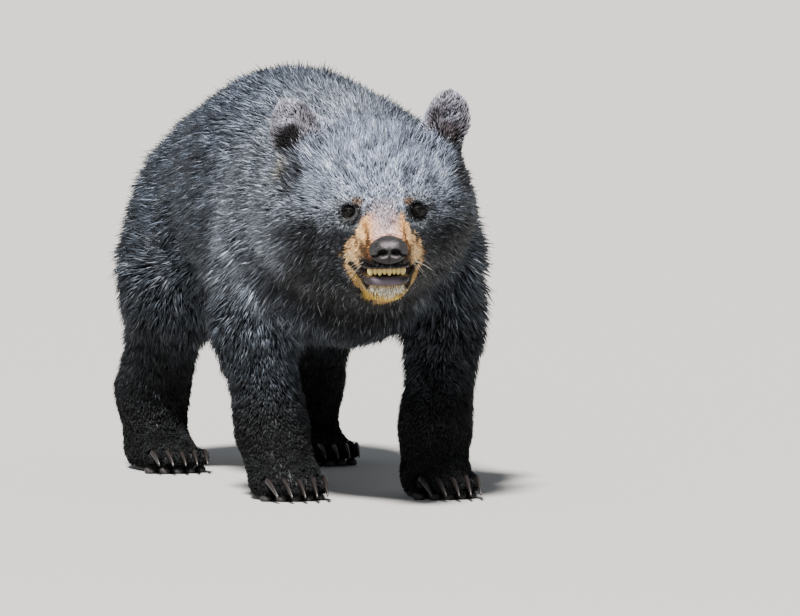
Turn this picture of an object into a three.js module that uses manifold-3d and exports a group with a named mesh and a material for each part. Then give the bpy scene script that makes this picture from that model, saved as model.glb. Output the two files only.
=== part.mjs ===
// A young American black bear, life size, standing on all four feet with its head
// low and turned a little to its right, lips parted. Millimetres, +Z up; the bear faces
// -Y and its left side is +X. The surface is the outline of the coat, out to the hair
// tips, and each named part is a closed solid parted from its neighbours by a thin cut.
import * as THREE from "three";
import { mergeVertices } from "three/addons/utils/BufferGeometryUtils.js";
import Module from "manifold-3d";

const wasm = await Module();
wasm.setup();

// ---------------------------------------------------------------- driving dimensions
const WITHERS = 556; // top of the coat over the shoulders
const BACK = 591; // top of the coat at mid back
const RUMP = 550; // top of the coat over the hips
const BELLY = 194; // lowest hair of the belly
const CHEST_HALF = 168; // half width of the rib cage with its coat
const ELBOW_OUT = { left: 143, right: 129 }; // elbow, from the mid plane
const FORE_PAW_OUT = 102; // fore paw, from the mid plane
const HIND_PAW_OUT = 122; // hind paw, from the mid plane
const FORE_STRIDE = { left: -12, right: 24 }; // fore paw centre along the body
const HIND_STRIDE = { left: 612, right: 552 }; // hind paw centre along the body
const WRIST = 66; // height of the cut between foreleg and paw
const ANKLE = 72; // height of the cut between hind leg and paw

const EYES_AT = new THREE.Vector3(-58, -272, 398); // midpoint between the eyes
const HEAD_YAW = -13.5; // degrees, turned towards the bear's right
const HEAD_PITCH = 14; // degrees, nose down
const HEAD_ROLL = -1.5; // degrees
const EYE_HALF_SPACING = 44;
const EYE_RADIUS = 10.5;
const MOUTH_CORNER = new THREE.Vector3(0, -36, -64.5); // where the lips meet, head frame
const UPPER_LIP_RISE = 12.3; // degrees, forwards from the corner of the mouth
const LOWER_LIP_DROP = 4.4; // degrees, forwards from the corner of the mouth
const MUZZLE_BACK = -20; // cut between muzzle and head, head frame
const GAP = 0.3; // clearance between two parts that touch

// ---------------------------------------------------------------- clay
// A mass is a function of x, y, z: its distance to the surface, negative inside.

const ellipsoid = (centre, radii) => {
  const [cx, cy, cz] = centre;
  const [rx, ry, rz] = radii;
  return (x, y, z) => {
    const ux = (x - cx) / rx;
    const uy = (y - cy) / ry;
    const uz = (z - cz) / rz;
    const near = Math.hypot(ux, uy, uz);
    const slope = Math.hypot(ux / rx, uy / ry, uz / rz);
    return slope > 0 ? (near * (near - 1)) / slope : -Math.min(rx, ry, rz);
  };
};

// A round-ended cone from a to b, its radius going from ra to rb.
const limb = (a, ra, b, rb) => {
  const [dx, dy, dz] = [b[0] - a[0], b[1] - a[1], b[2] - a[2]];
  const length2 = dx * dx + dy * dy + dz * dz;
  return (x, y, z) => {
    const along = ((x - a[0]) * dx + (y - a[1]) * dy + (z - a[2]) * dz) / length2;
    const t = Math.min(1, Math.max(0, along));
    const away = Math.hypot(x - a[0] - t * dx, y - a[1] - t * dy, z - a[2] - t * dz);
    return away - (ra + t * (rb - ra));
  };
};

// Joins masses with a fillet about as wide as `soft`.
const blend = (soft, ...masses) => (x, y, z) => {
  let d = masses[0](x, y, z);
  for (let i = 1; i < masses.length; i += 1) {
    const e = masses[i](x, y, z);
    const h = Math.max(soft - Math.abs(d - e), 0) / soft;
    d = Math.min(d, e) - (h * h * soft) / 4;
  }
  return d;
};

// Presses `tool` into `mass`, with a soft rim.
const pressed = (soft, mass, tool) => (x, y, z) => {
  const d = mass(x, y, z);
  const e = -tool(x, y, z);
  const h = Math.max(soft - Math.abs(d - e), 0) / soft;
  return Math.max(d, e) + (h * h * soft) / 4;
};

const bothSides = (mass) => (x, y, z) => mass(Math.abs(x), y, z);

// The mass as seen from the outer frame, when `matrix` places its own frame there.
const placed = (mass, matrix) => {
  const e = matrix.clone().invert().elements;
  return (x, y, z) =>
    mass(
      e[0] * x + e[4] * y + e[8] * z + e[12],
      e[1] * x + e[5] * y + e[9] * z + e[13],
      e[2] * x + e[6] * y + e[10] * z + e[14],
    );
};

// ---------------------------------------------------------------- body masses
const trunkMass = blend(
  60,
  ellipsoid([-6, 95, (WITHERS + BELLY) / 2], [CHEST_HALF - 26, 175, (WITHERS - BELLY) / 2 - 4]),
  ellipsoid([0, 320, (BACK + BELLY) / 2], [CHEST_HALF - 6, 300, (BACK - BELLY) / 2 - 8]),
  ellipsoid([0, 548, (RUMP + BELLY) / 2 - 8], [CHEST_HALF - 22, 165, (RUMP - BELLY) / 2 - 10]),
  bothSides(ellipsoid([0, 10, 330], [105, 95, 112])), // brisket
  bothSides(limb([52, 590, 385], 84, [116, 556, 296], 74)), // haunch
);

// The legs; side is +1 for the left ones and -1 for the right ones.
const foreLegMass = (side, elbow, stride) =>
  blend(
    34,
    limb([side * (elbow - 52), 60, 426], 66, [side * (elbow - 6), 78, 330], 63), // upper arm
    limb([side * (elbow - 6), 78, 330], 64, [side * elbow, 84, 235], 62),
    limb([side * elbow, 82, 235], 60, [side * (FORE_PAW_OUT + 8), stride + 34, 92], 46),
    limb([side * (FORE_PAW_OUT + 8), stride + 34, 92], 44, [side * FORE_PAW_OUT, stride + 16, 44], 41),
    ellipsoid([side * FORE_PAW_OUT, stride - 6, 22], [47, 58, 31]),
  );

const hindLegMass = (side, stride) =>
  blend(
    40,
    limb([side * 70, 580, 370], 84, [side * 122, stride - 46, 268], 77),
    limb([side * 122, stride - 46, 254], 70, [side * (HIND_PAW_OUT + 3), stride + 50, 112], 48),
    limb([side * (HIND_PAW_OUT + 3), stride + 50, 112], 46, [side * HIND_PAW_OUT, stride + 44, 44], 42),
    ellipsoid([side * HIND_PAW_OUT, stride - 4, 24], [46, 84, 32]),
  );

const NECK_ROOT = [-8, 30, 416];
const NECK_HEAD = [-46, -150, 410];
const neckMass = blend(
  60,
  limb(NECK_ROOT, 128, NECK_HEAD, 110),
  limb([-10, -10, 330], 98, [-50, -170, 340], 76), // throat
  limb([-62, 40, 380], 104, [-88, -100, 372], 84), // side of the neck that the head turns to
);

const TAIL_ROOT = [0, 692, 440];
const TAIL_TIP = [0, 742, 342];
const tailMass = limb(TAIL_ROOT, 30, TAIL_TIP, 20);

// ---------------------------------------------------------------- head masses, head frame
// Origin midway between the eyes, -Y towards the nose, +X the bear's left.
const degrees = THREE.MathUtils.degToRad;
const headMatrix = new THREE.Matrix4()
  .makeRotationFromEuler(
    new THREE.Euler(degrees(HEAD_PITCH), degrees(HEAD_ROLL), degrees(HEAD_YAW), "ZXY"),
  )
  .setPosition(EYES_AT);

const NOSE_AT = [0, -88, -28];
const NOSE_SIZE = [27.5, 15, 18.5]; // half width, half depth and half height of the bare pad
const craniumMass = bothSides(
  blend(
    26,
    ellipsoid([0, 92, -2], [94, 98, 80]), // crown and forehead
    ellipsoid([68, 86, -20], [55, 72, 66]), // cheek
    ellipsoid([66, 142, -42], [72, 78, 88]), // ruff of long hair behind the cheek
    ellipsoid([38, 20, 14], [26, 20, 14]), // brow
    limb([0, 0, -26], 28, [0, -50, -28], 25), // root of the muzzle
    ellipsoid([30, 14, -38], [30, 38, 27]), // flare of the muzzle into the cheek
    ellipsoid([0, 34, -74], [56, 60, 42]), // throat latch and angle of the jaw
  ),
);
const muzzleMass = bothSides(
  blend(
    16,
    limb([0, -4, -26], 28, [0, -74, -30], 21),
    limb([25, -14, -42], 24, [14, -72, -38], 15), // upper lip
    limb([9, -16, -8], 10, [8, -70, -17], 8), // bridge
  ),
);
const jawMass = bothSides(
  blend(
    18,
    limb([24, 0, -74], 28, [12, -56, -78], 17),
    ellipsoid([0, -58, -84], [23, 21, 22]), // chin
  ),
);

// An ear in its own frame: +Z up along it, its hollow side towards -Y.
const EAR = { half: 35, thick: 15, height: 76 };
const earMass = pressed(
  6,
  blend(
    14,
    ellipsoid([0, 0, EAR.height * 0.42], [EAR.half, EAR.thick, EAR.height * 0.58]),
    limb([0, 6, -14], 33, [0, 4, 8], 26),
  ),
  ellipsoid([0, -23, EAR.height * 0.42], [EAR.half * 0.66, 18, EAR.height * 0.42]),
);
// Where the ears stand on the head, and how far each is turned, tipped back and leant out.
const earTurned = (at, turn, tip, lean) =>
  new THREE.Matrix4()
    .makeRotationFromEuler(new THREE.Euler(degrees(tip), degrees(lean), degrees(turn), "ZXY"))
    .setPosition(...at);
const EARS = {
  left: earTurned([88, 104, 56], 28, -12, 17),
  right: earTurned([-101, 108, 51], -36, -14, -25),
};

const upperHead = blend(
  14,
  blend(16, craniumMass, muzzleMass),
  placed(earMass, EARS.left),
  placed(earMass, EARS.right),
);

const bodyMass = blend(
  42,
  trunkMass,
  foreLegMass(1, ELBOW_OUT.left, FORE_STRIDE.left),
  foreLegMass(-1, ELBOW_OUT.right, FORE_STRIDE.right),
  hindLegMass(1, HIND_STRIDE.left),
  hindLegMass(-1, HIND_STRIDE.right),
);
const headless = blend(44, blend(18, bodyMass, tailMass), neckMass);
const HEAD_SOFT = 50; // fillet between head and neck
const upperMass = blend(HEAD_SOFT, headless, placed(upperHead, headMatrix));
const lowerMass = blend(HEAD_SOFT, headless, placed(blend(16, craniumMass, jawMass), headMatrix));
const wholeMass = blend(HEAD_SOFT, headless, placed(blend(16, upperHead, jawMass), headMatrix));
const inHead = (mass) => placed(mass, headMatrix.clone().invert());

// ---------------------------------------------------------------- from clay to solids
// Surface nets: one vertex in each cell that the surface crosses, one quad round each
// grid edge that it crosses. Cells may be longer along the body, where it bends least.
function netOf(mass, low, high, cell) {
  const n = [0, 1, 2].map((k) => Math.max(3, Math.ceil((high[k] - low[k]) / cell[k]) + 1));
  const at = (i, j, k) => i + n[0] * (j + n[1] * k);
  const place = (i, k) => low[k] + i * cell[k];
  const value = new Float64Array(n[0] * n[1] * n[2]);
  for (let k = 0; k < n[2]; k += 1)
    for (let j = 0; j < n[1]; j += 1)
      for (let i = 0; i < n[0]; i += 1) {
        const rim = i * j * k === 0 || i === n[0] - 1 || j === n[1] - 1 || k === n[2] - 1;
        const d = mass(place(i, 0), place(j, 1), place(k, 2));
        value[at(i, j, k)] = rim ? Math.max(d, 1) : d;
      }

  const points = [];
  const vertexOf = new Map();
  for (let k = 0; k < n[2] - 1; k += 1)
    for (let j = 0; j < n[1] - 1; j += 1)
      for (let i = 0; i < n[0] - 1; i += 1) {
        const sum = [0, 0, 0];
        let crossings = 0;
        for (let axis = 0; axis < 3; axis += 1)
          for (let u = 0; u < 2; u += 1)
            for (let v = 0; v < 2; v += 1) {
              const start = [i, j, k];
              start[(axis + 1) % 3] += u;
              start[(axis + 2) % 3] += v;
              const end = [...start];
              end[axis] += 1;
              const a = value[at(...start)];
              const b = value[at(...end)];
              if (a < 0 === b < 0) continue;
              const share = a / (a - b);
              for (let c = 0; c < 3; c += 1)
                sum[c] += place(start[c] + (c === axis ? share : 0), c);
              crossings += 1;
            }
        if (!crossings) continue;
        vertexOf.set(at(i, j, k), points.length);
        points.push(settle(mass, sum.map((s) => s / crossings), cell));
      }

  const triangles = [];
  for (let k = 0; k < n[2] - 1; k += 1)
    for (let j = 0; j < n[1] - 1; j += 1)
      for (let i = 0; i < n[0] - 1; i += 1)
        for (let axis = 0; axis < 3; axis += 1) {
          const end = [i, j, k];
          end[axis] += 1;
          const inside = value[at(i, j, k)] < 0;
          if (inside === value[at(...end)] < 0) continue;
          const corner = (du, dv) => {
            const c = [i, j, k];
            c[(axis + 1) % 3] -= du;
            c[(axis + 2) % 3] -= dv;
            return vertexOf.get(at(...c));
          };
          const ring = [corner(1, 1), corner(0, 1), corner(0, 0), corner(1, 0)];
          if (!inside) ring.reverse();
          const [p, q, r, s] = ring.map((v) => points[v]);
          const short = p.distanceTo(r) <= q.distanceTo(s);
          const [a, b, c, d] = short ? ring : [ring[1], ring[2], ring[3], ring[0]];
          triangles.push(a, b, c, a, c, d);
        }
  const geometry = new THREE.BufferGeometry().setFromPoints(points);
  return geometry.setIndex(triangles);
}

// Moves a net's vertex onto the true surface, by at most half a cell. One that closes the
// net at its rim, deep in the mass, stays where it is.
function settle(mass, start, cell) {
  const step = 0.5;
  const reach = Math.min(...cell) / 2;
  const point = new THREE.Vector3(...start);
  if (Math.abs(mass(...start)) > 2 * reach) return point;
  for (let turn = 0; turn < 3; turn += 1) {
    const { x, y, z } = point;
    const d = mass(x, y, z);
    const slope = new THREE.Vector3(
      mass(x + step, y, z) - mass(x - step, y, z),
      mass(x, y + step, z) - mass(x, y - step, z),
      mass(x, y, z + step) - mass(x, y, z - step),
    ).divideScalar(2 * step);
    const steep = slope.lengthSq();
    if (steep < 1e-4) break;
    point.addScaledVector(slope, -d / steep);
  }
  const moved = point.clone().sub(new THREE.Vector3(...start));
  return new THREE.Vector3(...start).add(moved.clampLength(0, reach));
}

// A closed geometry as a manifold-3d solid, and back.
function solidOf(geometry) {
  const bare = geometry.clone();
  bare.deleteAttribute("normal");
  bare.deleteAttribute("uv");
  const merged = mergeVertices(bare, 1e-3);
  return new wasm.Manifold(
    new wasm.Mesh({
      numProp: 3,
      vertProperties: new Float32Array(merged.attributes.position.array),
      triVerts: new Uint32Array(merged.index.array),
    }),
  );
}

function geometryOf(solid) {
  const { numProp, vertProperties, triVerts } = solid.getMesh();
  const count = vertProperties.length / numProp;
  const position = new Float32Array(count * 3);
  for (let i = 0; i < count; i += 1)
    position.set(vertProperties.subarray(i * numProp, i * numProp + 3), i * 3);
  const geometry = new THREE.BufferGeometry();
  geometry.setAttribute("position", new THREE.BufferAttribute(position, 3));
  geometry.setIndex(new THREE.BufferAttribute(triVerts, 1));
  geometry.computeVertexNormals();
  return geometry;
}

// Everything beyond a plane, as a large box that the plane bounds. `back` leaves half
// the gap between two parts.
function beyond(point, normal, back = GAP / 2) {
  const size = 2400;
  const box = new THREE.BoxGeometry(size, size, size).translate(0, 0, size / 2 + back);
  const up = new THREE.Vector3(...normal).normalize();
  box.applyQuaternion(new THREE.Quaternion().setFromUnitVectors(new THREE.Vector3(0, 0, 1), up));
  return solidOf(box.translate(...point));
}
const opposite = (v) => v.map((c) => -c);
// Both sides of a cut: { front: beyond the plane, behind: before it }.
const cutAt = (point, normal) => ({
  front: beyond(point, normal),
  behind: beyond(point, opposite(normal)),
});

const fromHead = (v) => new THREE.Vector3(...v).applyMatrix4(headMatrix).toArray();
const turnedByHead = (v) => new THREE.Vector3(...v).transformDirection(headMatrix).toArray();
const headCut = (point, normal) => cutAt(fromHead(point), turnedByHead(normal));

// ---------------------------------------------------------------- materials
const finish = (name, color, roughness) =>
  new THREE.MeshStandardMaterial({ name, color, roughness, metalness: 0 });
const BLACK_COAT = finish("black coat", 0x17181b, 0.75);
const TAN_COAT = finish("tan coat", 0xb07a48, 0.8);
const BARE_NOSE = finish("bare nose", 0x2a2527, 0.3);
const EYE = finish("eye", 0x0d0907, 0.05);
const TOOTH = finish("tooth", 0xcdb86a, 0.35);
const CLAW = finish("claw", 0x1b1a19, 0.4);

const bear = new THREE.Group();
const parts = new THREE.Group();
bear.add(parts);
function add(name, solid, material) {
  const mesh = new THREE.Mesh(geometryOf(solid), material);
  mesh.name = name;
  parts.add(mesh);
}

// ---------------------------------------------------------------- cuts
const headNeck = headCut([0, 136, 0], [0, 1, -0.5]); // front: neck side
const neckTrunk = cutAt([-14, -22, 430], [0.12, 1, -0.45]); // front: trunk side
const muzzleHead = headCut([0, MUZZLE_BACK, 0], [0, -1, 0]); // front: muzzle side
const tilted = (angle) => [0, Math.sin(degrees(angle)), Math.cos(degrees(angle))];
const lips = headCut(MOUTH_CORNER.toArray(), tilted(UPPER_LIP_RISE)); // front: above the mouth

// A room is what lies beyond each of its planes, set back from all of them by `back`.
const room = (planes, back) =>
  planes.map(([point, normal]) => beyond(point, normal, back)).reduce((a, b) => a.intersect(b));
const inHeadPlanes = (planes) =>
  planes.map(([point, normal]) => [fromHead(point), turnedByHead(normal)]);

const TAIL_ROOM = [
  [[0, 720, 0], [0, 1, 0]],
  [[34, 0, 0], [-1, 0, 0]],
  [[-34, 0, 0], [1, 0, 0]],
];
const JAW_ROOM = inHeadPlanes([
  [MOUTH_CORNER.toArray(), opposite(tilted(-LOWER_LIP_DROP))],
  [[0, 24, 0], [0, -1, 0]],
  [[50, 0, 0], [-1, 0, 0]],
  [[-50, 0, 0], [1, 0, 0]],
]);

// ---------------------------------------------------------------- trunk and legs
const FLOOR = beyond([0, 0, 0], [0, 0, 1], 0);
// Where a pair of legs leaves the trunk: the stretch of the body, and the height of the
// sloping cut at two distances from the mid plane.
const FORE = { y: [-78, 150], inner: [20, 226], outer: [200, 372], cell: [32, 33, 40] };
const HIND = { y: [428, 800], inner: [16, 230], outer: [200, 420], cell: [34.6, 36.5, 40.7] };
const legs = [
  { pair: "fore", hand: "left", side: 1, zone: FORE, joint: WRIST, stride: FORE_STRIDE.left },
  { pair: "fore", hand: "right", side: -1, zone: FORE, joint: WRIST, stride: FORE_STRIDE.right },
  { pair: "hind", hand: "left", side: 1, zone: HIND, joint: ANKLE, stride: HIND_STRIDE.left },
  { pair: "hind", hand: "right", side: -1, zone: HIND, joint: ANKLE, stride: HIND_STRIDE.right },
];

// The room of one leg, below the sloping cut that parts it from the trunk.
function legRoom({ side, zone }, back) {
  const [ix, iz] = zone.inner;
  const [ox, oz] = zone.outer;
  const planes = [
    [[side * ix, 0, iz], [side * (oz - iz), 0, ix - ox]],
    [[side * 6, 0, 0], [side, 0, 0]],
    [[0, zone.y[0], 0], [0, 1, 0]],
    [[0, zone.y[1], 0], [0, -1, 0]],
  ];
  return room(planes, back);
}
const withoutLegs = (solid) =>
  legs.reduce((left, leg) => left.subtract(legRoom(leg, -GAP / 2)), solid);

function trunk() {
  const net = solidOf(netOf(wholeMass, [-240, -140, 150], [240, 800, 620], [42, 67, 43]));
  return withoutLegs(net.intersect(neckTrunk.front)).subtract(room(TAIL_ROOM, -GAP / 2));
}

function legSolid(leg) {
  const { side, zone } = leg;
  const [near, far] = side > 0 ? [-20, 240] : [-240, 20];
  const [low, high] = [zone.y[0] - 30, zone.y[1] + 30];
  return solidOf(netOf(wholeMass, [near, low, -30], [far, high, 460], zone.cell))
    .intersect(legRoom(leg, GAP / 2))
    .subtract(beyond([0, 0, leg.joint], [0, 0, -1], -GAP / 2));
}

// Five toes in an arc in front of each paw, drawn as egg shapes joined to it.
const TOES = [-2, -1, 0, 1, 2];
function toePlace(leg, toe) {
  const fore = leg.pair === "fore";
  const centre = (fore ? FORE_PAW_OUT : HIND_PAW_OUT) * leg.side;
  const front = leg.stride - (fore ? 50 : 76);
  return [centre + toe * 18.5, front + 3.2 * toe * toe, fore ? 21 : 22];
}

const toeEgg = (leg, toe, grow = 0) => {
  const egg = new THREE.SphereGeometry(1, 6, 4).scale(12 + grow, 22 + grow, 15 + grow);
  return solidOf(egg.translate(...toePlace(leg, toe)));
};

function paw(leg) {
  const fore = leg.pair === "fore";
  const outer = leg.side * (fore ? FORE_PAW_OUT : HIND_PAW_OUT);
  const [low, high] = fore ? [leg.stride - 95, leg.stride + 120] : [leg.stride - 120, leg.stride + 140];
  const net = netOf(wholeMass, [outer - 75, low, -30], [outer + 75, high, 110], [25, 28, 24]);
  const whole = TOES.reduce((solid, toe) => solid.add(toeEgg(leg, toe)), solidOf(net));
  return whole.intersect(FLOOR).intersect(beyond([0, 0, leg.joint], [0, 0, -1], GAP / 2));
}

// Turns a claw's own frame, +Z out and +Y up, to -Y out and +Z up.
const CLAW_TURN = new THREE.Matrix4().makeBasis(
  new THREE.Vector3(1, 0, 0),
  new THREE.Vector3(0, 0, 1),
  new THREE.Vector3(0, -1, 0),
);

// A claw is a cone, narrower than tall, bent downwards as it leaves the toe, its root
// shaped to the toe.
function claw(leg, toe) {
  const length = leg.pair === "fore" ? 36 : 29;
  const [x, y, z] = toePlace(leg, toe);
  const cone = new THREE.ConeGeometry(4.6, length, 5, 2).rotateX(Math.PI / 2);
  const spots = cone.attributes.position;
  for (let i = 0; i < spots.count; i += 1) {
    const out = spots.getZ(i) + length / 2;
    spots.setX(i, spots.getX(i) * 0.75);
    spots.setY(i, spots.getY(i) - 0.009 * out * out);
  }
  cone.rotateX(degrees(16)).applyMatrix4(CLAW_TURN).rotateZ(degrees(-toe * 5));
  return solidOf(cone.translate(x, y - 14 - length / 2, z + 2)).subtract(toeEgg(leg, toe, 1.3 * GAP));
}

add("trunk", trunk(), BLACK_COAT);
for (const leg of legs) {
  add(`${leg.pair}leg_${leg.hand}`, legSolid(leg), BLACK_COAT);
  add(`${leg.pair}paw_${leg.hand}`, paw(leg), BLACK_COAT);
  TOES.forEach((toe, i) => add(`claw_${leg.pair}_${leg.hand}_${i + 1}`, claw(leg, toe), CLAW));
}

const tailNet = netOf(wholeMass, [-60, 670, 310], [60, 800, 500], [19, 20, 22]);
add("tail", solidOf(tailNet).intersect(room(TAIL_ROOM, GAP / 2)), BLACK_COAT);

// ---------------------------------------------------------------- head
const sphere = (radii, centre, across = 10, down = 6) =>
  new THREE.SphereGeometry(1, across, down).scale(...radii).translate(...centre);
const inHeadFrame = (geometry) => solidOf(geometry.applyMatrix4(headMatrix));
const headNet = (mass, low, high, cell) => inHeadFrame(netOf(inHead(mass), low, high, cell));

// The bare pad of the nose, widest at its top, with its two nostrils.
function nosePad(grow) {
  const pad = sphere([1, 1, 1], [0, 0, 0], 11, 7).rotateX(Math.PI / 2);
  const spots = pad.attributes.position;
  const [half, deep, tall] = NOSE_SIZE.map((r) => r + grow);
  for (let i = 0; i < spots.count; i += 1) {
    const [x, y, z] = [spots.getX(i), spots.getY(i), spots.getZ(i)];
    const wide = 0.9 + 0.16 * z - 0.14 * z * z;
    spots.setXYZ(i, x * half * wide, y * deep + 3 * z * z, z * tall - 2.5 * x * x);
  }
  return pad.translate(...NOSE_AT);
}

// The room of one ear above the cut at its foot, set back from every face by `back`.
const EAR_CUT = 10; // height of the cut, in the ear's frame
function earRoom(matrix, back) {
  const box = new THREE.BoxGeometry(110 - 2 * back, 84 - 2 * back, 140);
  box.translate(0, -6, EAR_CUT + 70 + back);
  return solidOf(box.applyMatrix4(headMatrix.clone().multiply(matrix)));
}
const withoutEars = (solid) =>
  Object.values(EARS).reduce((left, ear) => left.subtract(earRoom(ear, -GAP / 2)), solid);

function ear(matrix) {
  const toEar = headMatrix.clone().multiply(matrix);
  const mass = placed(upperMass, toEar.clone().invert());
  const net = netOf(mass, [-62, -54, -16], [62, 54, 104], [13, 10.7, 14.2]);
  return solidOf(net.applyMatrix4(toEar)).intersect(earRoom(matrix, GAP / 2));
}

const neck = solidOf(netOf(wholeMass, [-260, -290, 190], [220, 60, 640], [35, 36, 35]))
  .intersect(headNeck.front)
  .intersect(neckTrunk.behind);
add("neck", withoutEars(withoutLegs(neck)), BLACK_COAT);

const eyeAt = (side) => [side * EYE_HALF_SPACING, 0, 0];
const eyeball = (side, grow) => {
  const r = EYE_RADIUS + grow;
  return inHeadFrame(sphere([r, r, r], eyeAt(side), 8, 5));
};
const eyes = { left: eyeball(1, 0), right: eyeball(-1, 0) };
// A socket opens forwards between the lids.
const socket = (side) => {
  const lids = new THREE.CylinderGeometry(9.4, 8.6, 18, 6).rotateX(Math.PI / 2);
  return eyeball(side, GAP).add(inHeadFrame(lids.translate(side * EYE_HALF_SPACING, -11, 0)));
};
const sockets = socket(1).add(socket(-1));

let head = headNet(wholeMass, [-165, -60, -190], [165, 190, 190], [26, 26, 25]);
head = head.intersect(muzzleHead.behind).intersect(headNeck.behind);
head = head.subtract(room(JAW_ROOM, -GAP / 2));
add("head", withoutEars(head).subtract(sockets), BLACK_COAT);
add("ear_left", ear(EARS.left), BLACK_COAT);
add("ear_right", ear(EARS.right), BLACK_COAT);
add("eye_left", eyes.left, EYE);
add("eye_right", eyes.right, EYE);

const muzzle = headNet(upperMass, [-72, -118, -75], [72, 10, 40], [15, 16, 14])
  .intersect(muzzleHead.front)
  .intersect(lips.front)
  .subtract(room(JAW_ROOM, -GAP / 2))
  .subtract(inHeadFrame(nosePad(GAP)))
  .subtract(sockets);
add("muzzle", muzzle, TAN_COAT);

const jaw = headNet(lowerMass, [-80, -104, -175], [80, 50, -20], [18, 18, 17]);
const mouthHollow = inHeadFrame(sphere([24, 24, 9], [0, -48, MOUTH_CORNER.z - 2], 8, 5));
add("jaw", jaw.intersect(room(JAW_ROOM, GAP / 2)).subtract(mouthHollow), TAN_COAT);

let nose = inHeadFrame(nosePad(0));
for (const side of [-1, 1]) {
  const nostril = sphere([5.5, 9, 4.2], [side * 10.5, -15, 0], 6, 4).rotateZ(side * 0.5);
  nose = nose.subtract(inHeadFrame(nostril.translate(...NOSE_AT)));
}
add("nose", nose, BARE_NOSE);

// A row of teeth on its gum: the outline of the row, scalloped at the tips, is bent round
// the arch of the jaw.
function toothRow(widths, lengths, gum, arch) {
  const total = widths.reduce((a, b) => a + b, 0);
  const outline = new THREE.Shape();
  let x = -total / 2;
  outline.moveTo(x, gum);
  widths.forEach((width, i) => {
    outline.lineTo(x, 0);
    outline.lineTo(x + width * 0.22, -lengths[i] * 0.92);
    outline.lineTo(x + width * 0.55, -lengths[i]);
    outline.lineTo(x + width * 0.8, -lengths[i] * 0.9);
    x += width;
  });
  outline.lineTo(x, 0);
  outline.lineTo(x, gum);
  const row = new THREE.ExtrudeGeometry(outline, { depth: 5, bevelEnabled: false, steps: 1 });
  row.rotateX(Math.PI / 2);
  const spots = row.attributes.position;
  for (let i = 0; i < spots.count; i += 1) {
    const [u, depth] = [spots.getX(i), spots.getY(i)];
    const bend = Math.min(1, Math.abs(u) / (total / 2));
    spots.setX(i, u * (1 - 0.2 * bend * bend));
    spots.setY(i, depth + arch * bend * bend);
  }
  return row;
}

const teeth = toothRow([9.5, 6, 6, 6.2, 6.2, 6, 6, 9.5], [8, 7.6, 7.6, 8, 8, 7.6, 7.6, 8], 4, 10);
teeth.translate(0, -73, MOUTH_CORNER.z + 6);
add("teeth", inHeadFrame(teeth).intersect(lips.behind), TOOTH);

// Recentres the group on the floor, midway along and across.
const box = new THREE.Box3().setFromObject(parts);
const centre = box.getCenter(new THREE.Vector3());
parts.position.set(-centre.x, -centre.y, -box.min.z);

export default bear;
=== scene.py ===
import math
from itertools import product

import bpy
import numpy as np
from mathutils import Matrix, Vector
from mathutils.kdtree import KDTree


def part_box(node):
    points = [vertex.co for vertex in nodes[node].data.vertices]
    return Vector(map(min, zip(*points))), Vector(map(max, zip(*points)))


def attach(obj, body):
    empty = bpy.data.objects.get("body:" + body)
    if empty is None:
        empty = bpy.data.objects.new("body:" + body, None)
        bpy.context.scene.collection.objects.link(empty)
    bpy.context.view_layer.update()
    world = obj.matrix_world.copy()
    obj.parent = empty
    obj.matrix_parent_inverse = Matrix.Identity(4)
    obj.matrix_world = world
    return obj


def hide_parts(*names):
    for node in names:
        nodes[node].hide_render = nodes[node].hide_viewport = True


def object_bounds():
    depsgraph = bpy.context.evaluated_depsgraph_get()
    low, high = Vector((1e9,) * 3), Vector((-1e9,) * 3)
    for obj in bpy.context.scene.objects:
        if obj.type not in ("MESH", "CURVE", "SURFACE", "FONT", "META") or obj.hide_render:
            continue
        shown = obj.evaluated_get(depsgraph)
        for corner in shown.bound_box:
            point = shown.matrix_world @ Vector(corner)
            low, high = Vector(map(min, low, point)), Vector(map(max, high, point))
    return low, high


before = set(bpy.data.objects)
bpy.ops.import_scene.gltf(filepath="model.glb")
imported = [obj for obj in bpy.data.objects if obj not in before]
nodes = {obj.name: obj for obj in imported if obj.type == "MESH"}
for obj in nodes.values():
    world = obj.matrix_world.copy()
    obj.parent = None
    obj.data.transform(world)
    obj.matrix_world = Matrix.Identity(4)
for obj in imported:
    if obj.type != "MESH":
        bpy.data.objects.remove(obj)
cad_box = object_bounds()

# ---- Camera: a long lens, low and a little to the bear's right, level with its chest. The
# whole animal stands in the frame as it would from eight metres away.
CAMERA_AZIMUTH = -18.0
CAMERA_ELEVATION = 3.0
CAMERA_DISTANCE = 8.0
IMAGE_SIZE = (800, 616)
METRES_PER_PIXEL = 0.0013
EYES_PIXEL = (383.5, 210.5)
SENSOR_WIDTH = 36


def middle(node):
    low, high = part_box(node)
    return np.array((low + high) / 2)


EYES = (middle("eye_left") + middle("eye_right")) / 2


def place_camera():
    azimuth, elevation = math.radians(CAMERA_AZIMUTH), math.radians(CAMERA_ELEVATION)
    back = Vector((math.sin(azimuth) * math.cos(elevation),
                   -math.cos(azimuth) * math.cos(elevation), math.sin(elevation)))
    right = Vector((0, 0, 1)).cross(back).normalized()
    up = back.cross(right)
    aim = Vector(EYES) + right * (IMAGE_SIZE[0] / 2 - EYES_PIXEL[0]) * METRES_PER_PIXEL
    aim -= up * (IMAGE_SIZE[1] / 2 - EYES_PIXEL[1]) * METRES_PER_PIXEL
    data = bpy.data.cameras.new("camera")
    data.sensor_width = SENSOR_WIDTH
    data.lens = SENSOR_WIDTH * CAMERA_DISTANCE / (IMAGE_SIZE[0] * METRES_PER_PIXEL)
    data.clip_end = 2000
    camera = bpy.data.objects.new("camera", data)
    bpy.context.scene.collection.objects.link(camera)
    turned = Matrix((right, up, back)).transposed().to_4x4()
    camera.matrix_world = Matrix.Translation(aim + back * CAMERA_DISTANCE) @ turned
    bpy.context.scene.camera = camera


place_camera()

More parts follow.
